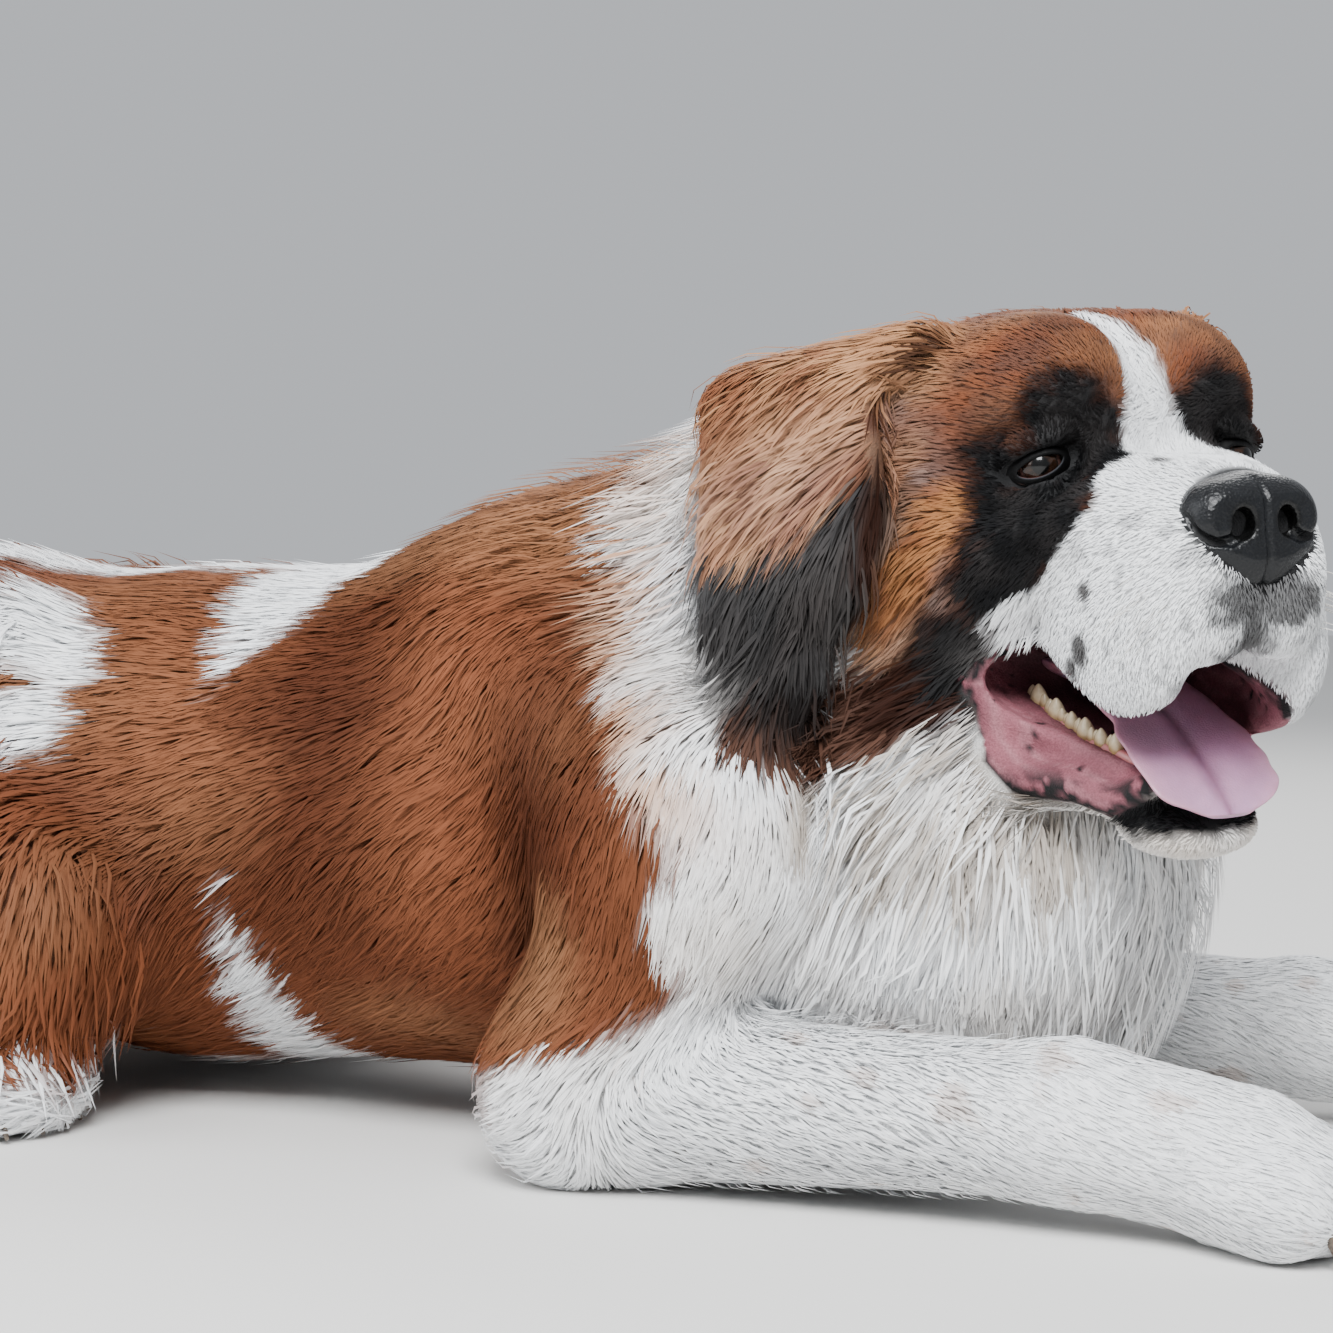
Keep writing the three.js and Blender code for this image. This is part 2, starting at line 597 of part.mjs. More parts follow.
// Forelegs: feathering along the outer and lower edge of the forearm
for (const [name, side, reach] of [["foreleg_right", -1, 0], ["foreleg_left", 1, 34]]) {
  for (const [x, z] of [[-20, 44], [30, 34], [90, 30], [150, 30]]) {
    const [cx, cy] = [ELBOW_X + reach + x, side * LEG_SPREAD * 1.06];
    const from = vec(cx - 60, cy + side * 200, z);
    locks[name].push(lock(from, vec(cx, cy, z), vec(-0.8, side * 0.4, -0.35), 66, 38, 8));
  }
}

// Each node is its share of the body less what earlier ones took. The skull and the torso come last
// and take all that is left, so no hole stays open where three parts meet.
const solids = {};
const ORDER = [
  ...HEAD_PARTS, "foreleg_right", "foreleg_left", "shoulder_right", "shoulder_left",
  "hindleg_right", "hindleg_left", "tail_tip", "tail_root", "neck", "torso",
];
for (const name of ORDER) {
  const { box, cell } = NODES[name];
  const [low, high] = box;
  const bounds = new THREE.Box3(new THREE.Vector3(...low), new THREE.Vector3(...high));
  const boxed = (x, y, z) => {
    const under = Math.max(low[0] - x, low[1] - y, low[2] - z);
    const beyond = Math.max(x - high[0], y - high[1], z - high[2]);
    return Math.max(core(x, y, z), under, beyond);
  };
  let solid = wasm.Manifold.union([netMesh(boxed, bounds, cell), ...locks[name]]);
  if (share[name]) solid = solid.intersect(share[name].inner);
  if (HEAD_PARTS.includes(name)) solid = solid.intersect(share.wholeHead.inner);
  else solid = solid.subtract(share.wholeHead.outer);
  for (const earlier of ORDER.slice(0, ORDER.indexOf(name))) {
    const bothHead = HEAD_PARTS.includes(name) || !HEAD_PARTS.includes(earlier);
    if (share[earlier] && bothHead) solid = solid.subtract(share[earlier].outer);
  }
  solids[name] = largest(solid);
}

// A three.js mesh as a solid, and a solid back as a named mesh with a material
function solidOf(geometry, matrix) {
  const bare = geometry.index ? geometry.toNonIndexed() : geometry.clone();
  const placed = new THREE.BufferGeometry().setAttribute("position", bare.getAttribute("position"));
  const merged = mergeVertices(placed.applyMatrix4(matrix), 1e-3);
  return solidFrom([...merged.attributes.position.array], [...merged.index.array]);
}
const dog = new THREE.Group();
function addNode(name, solid, colour, roughness) {
  const made = solid.getMesh();
  const vertices = new Float32Array(made.numVert * 3);
  for (let i = 0; i < made.numVert; i++) {
    vertices.set(made.vertProperties.subarray(i * made.numProp, i * made.numProp + 3), i * 3);
  }
  const geometry = new THREE.BufferGeometry();
  geometry.setAttribute("position", new THREE.BufferAttribute(vertices, 3));
  geometry.setIndex(new THREE.BufferAttribute(made.triVerts, 1));
  const material = new THREE.MeshStandardMaterial({ color: colour, roughness, metalness: 0 });
  const node = new THREE.Mesh(geometry, material);
  node.name = name;
  dog.add(node);
}

// Eyeballs in their sockets, each with a rim of lid round an almond opening
const headAt = (x, y, z) => headMatrix.clone().multiply(new THREE.Matrix4().makeTranslation(x, y, z));
function lidRim(side) {
  const gaze = vec(0.9, side * 0.36, 0.04).normalize();
  const across = vec(0, 0, 1).cross(gaze).normalize();
  const up = gaze.clone().cross(across);
  const middle = vec(4, (side * EYE_SPACING) / 2, 0).addScaledVector(gaze, 8.5);
  const [steps, points, faces] = [12, [], []];
  for (let n = 0; n < steps; n++) {
    const turn = (n / steps) * 2 * Math.PI;
    const rim = across.clone().multiplyScalar(Math.cos(turn)).addScaledVector(up, Math.sin(turn));
    const spot = middle.clone().addScaledVector(across, 13.5 * Math.cos(turn));
    spot.addScaledVector(up, 8.5 * Math.sin(turn));
    for (const [a, b] of [[3.4, 0], [0, 3], [-3.4, 0], [0, -3]]) {
      const corner = spot.clone().addScaledVector(rim, a).addScaledVector(gaze, b).applyMatrix4(headMatrix);
      points.push(corner.x, corner.y, corner.z);
    }
  }
  for (let n = 0; n < steps; n++) {
    for (let k = 0; k < 4; k++) {
      const [a, b] = [n * 4 + k, n * 4 + ((k + 1) % 4)];
      const next = ((n + 1) % steps) * 4;
      const [c, d] = [next + k, next + ((k + 1) % 4)];
      faces.push(a, c, d, a, d, b);
    }
  }
  const rim = solidFrom(points, faces);
  const turned = faces.map((_, n) => faces[n - (n % 3) + [0, 2, 1][n % 3]]);
  return rim.volume() > 0 ? rim : solidFrom(points, turned);
}
for (const [name, side] of [["eye_right", -1], ["eye_left", 1]]) {
  const place = headAt(4, (side * EYE_SPACING) / 2, 0);
  const ball = solidOf(new THREE.SphereGeometry(EYE_RADIUS, 12, 8), place);
  const socket = solidOf(new THREE.SphereGeometry(EYE_RADIUS + GAP + 0.3, 12, 8), place);
  solids.head = largest(solids.head.add(lidRim(side)).subtract(socket));
  addNode(name, ball, EYE_BROWN, 0.1);
}

// Nose pad, an egg let into the end of the muzzle
const nosePlace = headAt(MUZZLE - 28, 0, -40).multiply(new THREE.Matrix4().makeScale(27, 36, 30));
const noseSocket = nosePlace.clone().multiply(new THREE.Matrix4().makeScale(1.02, 1.02, 1.02));
solids.head = largest(solids.head.subtract(solidOf(new THREE.SphereGeometry(1, 14, 9), noseSocket)));
let pad = solidOf(new THREE.SphereGeometry(1, 14, 9), nosePlace);
for (const side of [-1, 1]) {
  const nostril = headAt(MUZZLE - 5, side * 12, -40).multiply(new THREE.Matrix4().makeScale(9, 6, 5.5));
  pad = pad.subtract(solidOf(new THREE.SphereGeometry(1, 7, 5), nostril));
}
addNode("nose", pad, BLACK, 0.35);

// Tongue, lolling over the lower lip from the floor of the mouth
const tongue = onHead(union(14, egg([20, 4, -140], [62, 30, 10], -26), egg([62, 6, -164], [34, 32, 8], -42)));
const tongueBox = new THREE.Box3(new THREE.Vector3(440, -230, 120), new THREE.Vector3(720, 20, 330));
const tongueSurface = net(tongue, tongueBox, 12);
settle(tongueSurface.points, tongue, 12);
const tongueHole = shrunk(tongueSurface, -2 * GAP);
for (const part of ["head", "lower_jaw", "neck"]) solids[part] = largest(solids[part].subtract(tongueHole));
addNode("tongue", solidFrom(tongueSurface.points, tongueSurface.faces), PINK, 0.4);

for (const [name, { colour }] of Object.entries(NODES)) addNode(name, solids[name], colour, 0.9);

// The origin lies on the floor, under the middle of the box round the dog
const whole3 = new THREE.Box3().setFromObject(dog);
const middle = whole3.getCenter(new THREE.Vector3());
dog.position.set(-middle.x, -middle.y, -whole3.min.z);
dog.updateMatrixWorld(true);

export default dog;
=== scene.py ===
import bmesh
import bpy
import numpy as np
from mathutils import Matrix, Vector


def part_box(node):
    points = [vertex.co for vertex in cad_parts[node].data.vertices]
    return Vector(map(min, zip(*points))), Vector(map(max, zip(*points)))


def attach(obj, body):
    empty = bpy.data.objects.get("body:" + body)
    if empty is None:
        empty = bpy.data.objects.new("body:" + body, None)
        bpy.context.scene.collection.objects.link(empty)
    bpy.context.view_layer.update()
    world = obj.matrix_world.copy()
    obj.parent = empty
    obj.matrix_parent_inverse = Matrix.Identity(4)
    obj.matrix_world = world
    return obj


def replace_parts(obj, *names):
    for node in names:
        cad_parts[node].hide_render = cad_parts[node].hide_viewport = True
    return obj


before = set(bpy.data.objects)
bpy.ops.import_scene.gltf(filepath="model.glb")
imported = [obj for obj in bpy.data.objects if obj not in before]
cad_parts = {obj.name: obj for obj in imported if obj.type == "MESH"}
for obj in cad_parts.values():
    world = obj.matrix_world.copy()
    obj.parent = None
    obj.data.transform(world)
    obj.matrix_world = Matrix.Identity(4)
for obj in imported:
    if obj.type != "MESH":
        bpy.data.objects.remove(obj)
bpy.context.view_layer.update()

# The form under the coat. Every mass of the body is an egg or a tapered rod, in millimetres in the
# dog's own axes (+X to the nose, +Y to its left, Z up from the floor), melted into its neighbours.
# The hide, the coat and the bare parts are all worked out from these distances.


def egg(p, centre, radii, pitch=0.0, yaw=0.0):
    """Distance to an ellipsoid: k0 (k0 - 1) / k1, where k0 is the length of p over the radii and
    k1 that of p over their squares, with p turned by yaw in XY and then by pitch in XZ."""
    cp, sp, cw, sw = (f(np.radians(a)) for a in (pitch, yaw) for f in (np.cos, np.sin))
    dx, dy, dz = (p[i] - centre[i] for i in range(3))
    along = cw * dx + sw * dy
    a = (cp * along + sp * dz) / radii[0]
    b = (cw * dy - sw * dx) / radii[1]
    c = (cp * dz - sp * along) / radii[2]
    k0 = np.sqrt(a * a + b * b + c * c)
    k1 = np.sqrt((a / radii[0]) ** 2 + (b / radii[1]) ** 2 + (c / radii[2]) ** 2)
    return k0 * (k0 - 1) / np.maximum(k1, 1e-9)


def rod(p, start, end, r0, r1):
    """Distance to the segment from start to end, less a radius that runs evenly from r0 to r1."""
    d = np.subtract(end, start).astype(float)
    q = [p[i] - start[i] for i in range(3)]
    t = np.clip((q[0] * d[0] + q[1] * d[1] + q[2] * d[2]) / (d @ d), 0, 1)
    away = np.sqrt(sum((q[i] - t * d[i]) ** 2 for i in range(3)))
    return away - (r0 + t * (r1 - r0))


def melt(k, *fields):
    """The least of the fields, rounded: min(a, b) - h^2 k / 4 with h = max(k - |a - b|, 0) / k."""
    d = fields[0]
    for f in fields[1:]:
        h = np.maximum(k - np.abs(d - f), 0) / k
        d = np.minimum(d, f) - h * h * k / 4
    return d


def carve(k, d, hole):
    """The field d with a hole cut out, its edge rounded over k."""
    return -melt(k, -d, hole)


def both(k, shape, p, *args, **words):
    """A shape on the dog's left and its mirror image on the right, melted over k."""
    return melt(k, shape(p, *args, **words), shape((p[0], -p[1], p[2]), *args, **words))


def rods(p, knots, shape=rod):
    """The least distance to the rods from knot to knot; a knot is x, y, z and a radius."""
    pairs = zip(knots[:-1], knots[1:])
    return np.min([shape(p, a[:3], b[:3], a[3], b[3]) for a, b in pairs], 0)


def two_rods(p, *ends):
    """A rod and its mirror image, hardly melted."""
    return both(1, rod, p, *ends)


def turn(axis, degrees):
    """Right-handed rotation matrix about one axis."""
    c, s = np.cos(np.radians(degrees)), np.sin(np.radians(degrees))
    i, j = [(1, 2), (2, 0), (0, 1)][axis]
    m = np.eye(3)
    m[i, i] = m[j, j] = c
    m[i, j], m[j, i] = -s, s
    return m


HEAD_PLACE = np.array((548.0, -87.0, 386.0))
HEAD_TURN = turn(2, -40) @ turn(1, -3) @ turn(0, 3)
EYE_Y = 56.0
TAIL_LINE = np.array(
    # knots from the root to the tip, each with its radius
    [
        (-395, 0, 215, 56), (-470, -14, 130, 50), (-520, -60, 66, 46), (-535, -140, 46, 44),
        (-505, -225, 42, 40), (-440, -288, 38, 30),
    ],
    float,
)


def to_head(p):
    """Points of the dog's axes in the head's: +X along the muzzle, origin midway between the eyes."""
    return np.tensordot(HEAD_TURN.T, np.stack([p[i] - HEAD_PLACE[i] for i in range(3)]), 1)


def from_head(q):
    """Rows of head points in the dog's axes."""
    return np.asarray(q, float) @ HEAD_TURN.T + HEAD_PLACE


def torso_mass(p):
    """The chest, withers, breast, belly and rump."""
    return melt(
        70,
        egg(p, (160, 0, 184), (210, 165, 160)),
        egg(p, (180, 0, 294), (88, 58, 58)),
        egg(p, (310, 0, 185), (120, 128, 140)),
        egg(p, (-70, 0, 172), (225, 173, 160)),
        egg(p, (-290, 0, 200), (165, 138, 146)),
    )


def neck_mass(p):
    """The neck, and the ruff of hair that hangs from the throat down to the chest."""
    return melt(
        70,
        rod(p, (175, 0, 246), (405, -36, 356), 104, 98),
        egg(p, (444, -32, 178), (126, 122, 140)),
        egg(p, (402, -14, 88), (98, 104, 102)),
    )


ELBOW_X = 272.0
FORELEGS = (
    # name, side, how far ahead of the other, degrees swung outwards
    ("foreleg_right", -1, 0, 3),
    ("foreleg_left", 1, 34, 2),
)


def elbow(side, reach):
    """Where the foreleg leaves the body, on the floor."""
    return np.array((ELBOW_X + reach, side * 169.6, 50.0))


def shoulder_mass(p, side, reach):
    """The shoulder blade down to the point of the shoulder, and the upper arm back to the elbow."""
    y = side * 160
    return melt(
        50,
        rod(p, (170, side * 72, 277), (320, y * 0.82, 190), 58, 72),
        rod(p, (325, y * 0.87, 180), elbow(side, reach), 72, 50),
    )


def foreleg_points(side, reach, swing):
    """The elbow, and a function from millimetres along the foreleg and across it to a place."""
    start, c, s = elbow(side, reach), np.cos(np.radians(swing)), np.sin(np.radians(swing))
    return start, lambda a, b, z: np.array((start[0] + a * c - b * s, start[1] + a * s + b * c, z))


TOES = (-34, -12, 12, 34)


def foreleg_mass(p, side, reach, swing):
    """The forearm, the pastern and the paw with its four toes."""
    start, at = foreleg_points(side, reach, swing)
    toes = [
        egg(p, at(398 - abs(t) * 0.5, t, 27), (27, 15, 24), -14, swing + t * 0.25) for t in TOES
    ]
    return melt(
        14,
        rod(p, start, at(270, 0, 54), 48, 38),
        rod(p, at(270, 0, 54), at(360, 0, 40), 41, 38),
        egg(p, at(374, 0, 30), (52, 48, 32), 0, swing),
        *toes,
    )


HIND_TOES = (-32, -11, 11, 32)
HIND_OUT = 188
HEEL_X = -165


def hind_toe(side, t):
    """The middle of one hind toe on the floor; t is its place across the foot."""
    return HEEL_X + 82 - abs(t) * 0.4, side * HIND_OUT * 1.1 + t


def hindleg_mass(p, side):
    """The folded thigh, the shank back to the hock, the hind pastern and the paw."""
    y = side * HIND_OUT
    knee, hock, foot = (-95, y * 0.97, 118), (-345, y * 0.98, 50), (HEEL_X, y * 1.1, 36)
    toes = [egg(p, (*hind_toe(side, t), 25), (25, 14, 22), -14) for t in HIND_TOES]
    return melt(
        40,
        egg(p, (-230, side * 112, 178), (160, 88, 150), 12, side * -6),
        rod(p, (-220, side * 130, 190), knee, 96, 70),
        rod(p, knee, hock, 62, 36),
        rod(p, hock, foot, 36, 36),
        egg(p, (foot[0] + 34, foot[1], 30), (56, 46, 31)),
        *toes,
    )


def tail_mass(p, first, last):
    """A length of the tail, between two of its knots."""
    knots = TAIL_LINE[first : last + 1]
    pairs = zip(knots[:-1], knots[1:])
    return melt(30, *[rod(p, a[:3], b[:3], a[3], b[3]) for a, b in pairs])


def skull_mass(q):
    """The skull with its brow, cheeks and eye sockets, and the muzzle with its hanging flews."""
    skull = melt(
        30,
        egg(q, (-84, 0, 14), (100, 92, 76)),
        both(20, egg, q, (-60, 46, 32), (76, 46, 46)),
        both(16, egg, q, (-18, 36, 38), (32, 34, 32)),
        both(20, egg, q, (-78, 60, -38), (82, 48, 72), pitch=8),
        both(16, egg, q, (18, 34, -30), (46, 34, 32)),
    )
    muzzle = melt(
        18,
        egg(q, (48, 0, -30), (68, 32, 29)),
        both(14, egg, q, (58, 25, -54), (56, 29, 46)),
        egg(q, (42, -41, -90), (58, 22, 43), -6),
        egg(q, (38, 43, -97), (56, 22, 47), -6),
        egg(q, (-6, 58, -98), (48, 17, 40), -8),
        both(10, egg, q, (93, 16, -74), (22, 23, 30)),
    )
    orbits = both(1, egg, q, (24, 65, 1), (24, 22, 15), yaw=20)
    return carve(10, melt(22, skull, muzzle), orbits)


def ear_mass(q, side, out):
    """A hanging ear flap of five limbs, hollowed in front; out is how far it stands off the head."""

    def at(x, y, z):
        return np.array((x, side * (y + out * (y - 76)), z))

    flap = melt(
        22,
        rod(q, at(-64, 80, 64), at(-142, 140, 48), 22, 23),
        rod(q, at(-60, 98, 44), at(-66, 134, -58), 15, 14),
        rod(q, at(-78, 108, 46), at(-80, 148, -100), 16, 15),
        rod(q, at(-98, 122, 46), at(-98, 160, -122), 17, 14),
        rod(q, at(-124, 134, 44), at(-112, 164, -104), 18, 15),
        rod(q, at(-150, 146, 38), at(-126, 166, -70), 18, 15),
    )
    return carve(6, flap, egg(q, at(-60, 96, 4), (12, 9, 40), 0, side * -40))


JAW_HINGE = (-92.0, -48.0)
JAW_OPEN = 30


def jaw_shut(q):
    """Points of the head swung back about the jaw's hinge, to where they lie with the mouth shut."""
    c, s = np.cos(np.radians(JAW_OPEN)), np.sin(np.radians(JAW_OPEN))
    dx, dz = q[0] - JAW_HINGE[0], q[2] - JAW_HINGE[1]
    return JAW_HINGE[0] + c * dx - s * dz, q[1], JAW_HINGE[1] + s * dx + c * dz


def jaw_mass(q):
    """The lower jaw, its chin and its lips, drawn with the mouth shut."""
    s = jaw_shut(q)
    return melt(
        16,
        both(10, rod, s, (-64, 46, -78), (56, 24, -88), 25, 20),
        egg(s, (72, 0, -84), (34, 34, 22)),
        egg(s, (-10, 0, -86), (84, 40, 22)),
        both(8, rod, s, (-24, 50, -96), (52, 33, -88), 13, 9),
    )


def mouth_hole(q):
    """The hollow of the open mouth: its middle and the pouch inside each cheek."""
    return melt(
        14,
        egg(q, (34, -4, -130), (92, 42, 27), -16),
        egg(q, (-14, -42, -114), (56, 34, 19), -18),
        egg(q, (-14, 28, -114), (56, 30, 19), -18),
    )


HEADS = "head lower_jaw ear_right ear_left mouth".split()


def masses(p):
    """The distance of each point to each mass of the body, by name; a mass far off is just far."""
    m = {
        "torso": torso_mass(p),
        "neck": neck_mass(p),
        "shoulder_right": shoulder_mass(p, -1, 0),
        "shoulder_left": shoulder_mass(p, 1, 34),
    }
    for name, *where in FORELEGS:
        m[name] = within(p, (150, -330, -60), (780, 330, 240), foreleg_mass, *where)
    for name, side in (("hindleg_right", -1), ("hindleg_left", 1)):
        m[name] = within(p, (-560, -400, -60), (190, 400, 460), hindleg_mass, side)
    m["tail_root"] = within(p, (-680, -260, -60), (-220, 160, 400), tail_mass, 0, 2)
    m["tail_tip"] = within(p, (-680, -430, -60), (-280, 80, 230), tail_mass, 2, 5)
    m.update(zip(HEADS, within(p, (180, -360, 40), (800, 260, 600), head_masses)))
    return m


def within(p, low, high, fields, *words):
    """Fields worked out only for the points inside a box, and 200 mm for the others."""
    inside = np.all([(p[i] > low[i]) & (p[i] < high[i]) for i in range(3)], 0)
    values = fields(tuple(c[inside] for c in p), *words)
    out = np.full((*values.shape[:-1], len(inside)), 200.0)
    out[..., inside] = values
    return out


def head_masses(p):
    """The masses of the head and the hole of the mouth, in the order of HEADS."""
    q = to_head(p)
    ears = ear_mass(q, -1, 0.12), ear_mass(q, 1, -0.4)
    return np.stack([skull_mass(q), jaw_mass(q), *ears, mouth_hole(q)])


def outline(m):
    """The distance to the outline of the whole dog, out to the tips of its coat."""
    jawed = melt(16, m["head"], m["lower_jaw"])
    head = carve(6, melt(12, jawed, m["ear_right"], m["ear_left"]), m["mouth"])
    trunk = melt(44, melt(70, m["torso"], m["neck"]), m["hindleg_right"], m["hindleg_left"])
    right = melt(40, m["shoulder_right"], m["foreleg_right"])
    left = melt(40, m["shoulder_left"], m["foreleg_left"])
    limbed = melt(26, melt(26, trunk, right, left), melt(26, m["tail_root"], m["tail_tip"]))
    return melt(30, limbed, head)


# The room. A plain pale floor under soft light from three broad lamps, seen from the photograph's
# place: low, from the dog's right and a little ahead of it. The design axes are moved onto the
# frame's by the middle of the two eyeballs.
EYE_MIDDLE = from_head([(4, -EYE_Y, 0), (4, EYE_Y, 0)]).mean(0)
eye_boxes = [np.array(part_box(name)) for name in ("eye_right", "eye_left")]
SHIFT = np.mean([b.mean(0) for b in eye_boxes], 0) - EYE_MIDDLE / 1000
SHIFT[2] = 0


def placed(rows):
    """Millimetres in the dog's own axes as metres in the frame."""
    return np.asarray(rows, float) / 1000 + SHIFT


FLOOR = ((-9, -9, 0), (9, -9, 0), (9, 9, 0), (-9, 9, 0))
floor_mesh = bpy.data.meshes.new("floor")
floor_mesh.from_pydata(FLOOR, [], [(0, 1, 2, 3)])
floor = bpy.data.objects.new("floor", floor_mesh)
bpy.context.collection.objects.link(floor)
floor_paint = bpy.data.materials.new("pale_floor")
floor_paint.use_nodes = True
floor_shader = floor_paint.node_tree.nodes["Principled BSDF"]
floor_shader.inputs["Base Color"].default_value = (0.72, 0.71, 0.69, 1)
floor_shader.inputs["Roughness"].default_value = 0.8
floor_mesh.materials.append(floor_paint)

world = bpy.data.worlds.new("studio")
world.use_nodes = True
sky = world.node_tree.nodes["Background"]
sky.inputs["Color"].default_value = (0.88, 0.91, 0.96, 1)
sky.inputs["Strength"].default_value = 0.65
bpy.context.scene.world = world


def aimed(position, target):
    """Rows of a rotation whose -Z looks from position to target with +Y as near up as may be."""
    back = np.subtract(position, target).astype(float)
    back /= np.linalg.norm(back)
    right = np.cross((0, 0, 1), back)
    right /= np.linalg.norm(right)
    return np.stack([right, np.cross(back, right), back], 1)


def set_place(thing, position, axes):
    """Puts a lamp or camera at a position, turned to the columns of axes."""
    matrix = np.eye(4)
    matrix[:3, :3], matrix[:3, 3] = axes, position
    thing.matrix_world = Matrix(matrix.tolist())


LIT_PLACE = (0.1, 0, 0.2)
for name, position, watts, size, tint in (
    ("key", (1.0, -1.9, 2.5), 205, 1.5, (0.97, 0.985, 1)),
    ("fill", (-1.8, -1.6, 1.5), 50, 2.2, (0.94, 0.97, 1)),
    ("rim", (-0.6, 2.3, 2.2), 55, 1.8, (1, 1, 1)),
):
    lamp = bpy.data.lights.new(name, "AREA")
    lamp.energy, lamp.size, lamp.color = watts, size, tint
    stand = bpy.data.objects.new(name, lamp)
    bpy.context.collection.objects.link(stand)
    set_place(stand, position, aimed(position, LIT_PLACE))

CAMERA_PLACE = (1017.0, -1532.0, 345.0)
CAMERA_RIGHT = np.array((0.89, 0.454, 0.0)) / np.hypot(0.89, 0.454)
CAMERA_DIP = np.radians(2.487)
level = np.array((-CAMERA_RIGHT[1], CAMERA_RIGHT[0], 0))
ahead = level * np.cos(CAMERA_DIP) - (0, 0, np.sin(CAMERA_DIP))
lens = bpy.data.cameras.new("camera")
lens.lens, lens.sensor_width = 78.3, 36
camera = bpy.data.objects.new("camera", lens)
bpy.context.collection.objects.link(camera)
camera_axes = np.stack([CAMERA_RIGHT, np.cross(CAMERA_RIGHT, ahead), -ahead], 1)
set_place(camera, placed(CAMERA_PLACE), camera_axes)
bpy.context.scene.camera = camera


# The hide: one closed skin over the whole dog, in place of the flesh nodes. It lies under the tips
# of the coat by the coat's depth, down to a few millimetres on the face and paws, and is meshed
# finely on the head and more widely on the body. It is drawn in the coat's own colours, a little
# darker as painted shade between the tufts.
DEPTH = {
    "torso": 9, "neck": 13, "shoulder_right": 8, "shoulder_left": 8, "foreleg_right": 3.5,
    "foreleg_left": 3.5, "hindleg_right": 10, "hindleg_left": 10, "tail_root": 17, "tail_tip": 18,
    "head": 7, "lower_jaw": 4, "ear_right": 5.5, "ear_left": 5.5,
}
PARTS = list(DEPTH)


def ramp(a, b, x):
    """0 at a, 1 at b and smooth between, for a below or above b."""
    t = np.clip((x - a) / (b - a), 0, 1)
    return t * t * (3 - 2 * t)


def bell(x, width):
    """1 at nought and falling away on both sides: exp(-(x / width) squared)."""
    return np.exp(-((x / width) ** 2))


def shares(m, spread=16.0):
    """How much of each part there is at each point: exp(-d / spread), over the sum for all parts."""
    d = np.stack([m[name] for name in PARTS])
    w = np.exp(-(d - d.min(0)) / spread)
    return dict(zip(PARTS, w / w.sum(0)))


def coat_depth(p, m, w=None):
    """Millimetres from the hide to the tips of the coat."""
    w = shares(m) if w is None else w
    q = to_head(p)
    head = 1.6 + 4.4 * ramp(25, -95, q[0]) + 4 * ramp(-120, -190, q[0])
    jaw = 2.0 + 4 * ramp(20, -70, q[0])
    paw = ramp(190, 260, p[0] - ELBOW_X)
    depth = sum(DEPTH[name] * w[name] for name in PARTS if name not in ("head", "lower_jaw"))
    depth = depth - (w["foreleg_right"] + w["foreleg_left"]) * 2.7 * paw
    foot = (w["hindleg_right"] + w["hindleg_left"]) * ramp(80, 50, p[2]) * ramp(-250, -150, p[0])
    depth = depth - 6 * foot + head * w["head"] + jaw * w["lower_jaw"]
    return np.maximum(depth * ramp(-2, 16, m["mouth"]), 0.6)


def gully(q, points, width, depth):
    """A groove along a line of head points, bell-shaped across."""
    return depth * bell(rods(q, [(*point, 0) for point in points]), width)


FOLDS = [(((26, 0, 2), (14, 0, 40), (-10, 0, 74), (-60, 0, 92)), 7, 4.0)]
for points, width, depth in (
    (((20, 30, 30), (2, 58, 27), (-12, 76, 14)), 5, 2.2),
    (((34, 40, -12), (18, 66, -20), (-14, 84, -24)), 5, 2.6),
    (((8, 70, -44), (-12, 86, -70), (-40, 96, -104)), 7, 3.6),
    (((40, 60, -52), (16, 72, -76), (-14, 82, -98)), 6, 2.4),
):
    for side in (-1, 1):
        FOLDS.append(([(x, side * y, z) for x, y, z in points], width, depth))
FOLDS.append((((124, 0, -60), (120, 0, -84)), 3, 5.0))


def face_folds(p, m):
    """The furrows of the brow, the bags under the eyes and the creases of the flews."""
    near = (m["head"] < 30) & (m["head"] > -40)
    out = np.zeros(len(p[0]))
    if near.any():
        q = to_head(tuple(p[i][near] for i in range(3)))
        out[near] = sum(gully(q, *fold) for fold in FOLDS)
    return out


def unit(v):
    """Rows of vectors at length one."""
    return v / np.maximum(np.linalg.norm(v, axis=-1, keepdims=True), 1e-9)


EYE_X = 4
EYE_RADIUS = 13.0
EYE_TILT = 0.30
OPENING = (12.6, 5.0)  # half the width and height between the lids
LID_GAP = 2.6


def gaze_axes(side):
    """Towards the nose, up and along the gaze of one eye, as columns in the head's axes, turned so
    that the outer corner hangs."""
    gaze = unit(np.array((0.88, side * 0.45, -0.06)))
    inward = unit(np.cross((0, 0, 1), gaze)) * -side
    up = np.cross(gaze, inward) * side * -1
    up = up if up[2] > 0 else -up
    cos, sin = np.cos(EYE_TILT), np.sin(EYE_TILT)
    return np.stack([inward * cos + up * sin, up * cos - inward * sin, gaze], 1)


def round_eye(q, side):
    """Head points in the axes of one eye, and the distance to the almond between its lids."""
    e = gaze_axes(side).T @ np.stack([q[0] - EYE_X, q[1] - side * EYE_Y, q[2]])
    almond = (np.hypot(e[0] / OPENING[0], e[1] / OPENING[1]) - 1) * OPENING[1]
    return e, almond


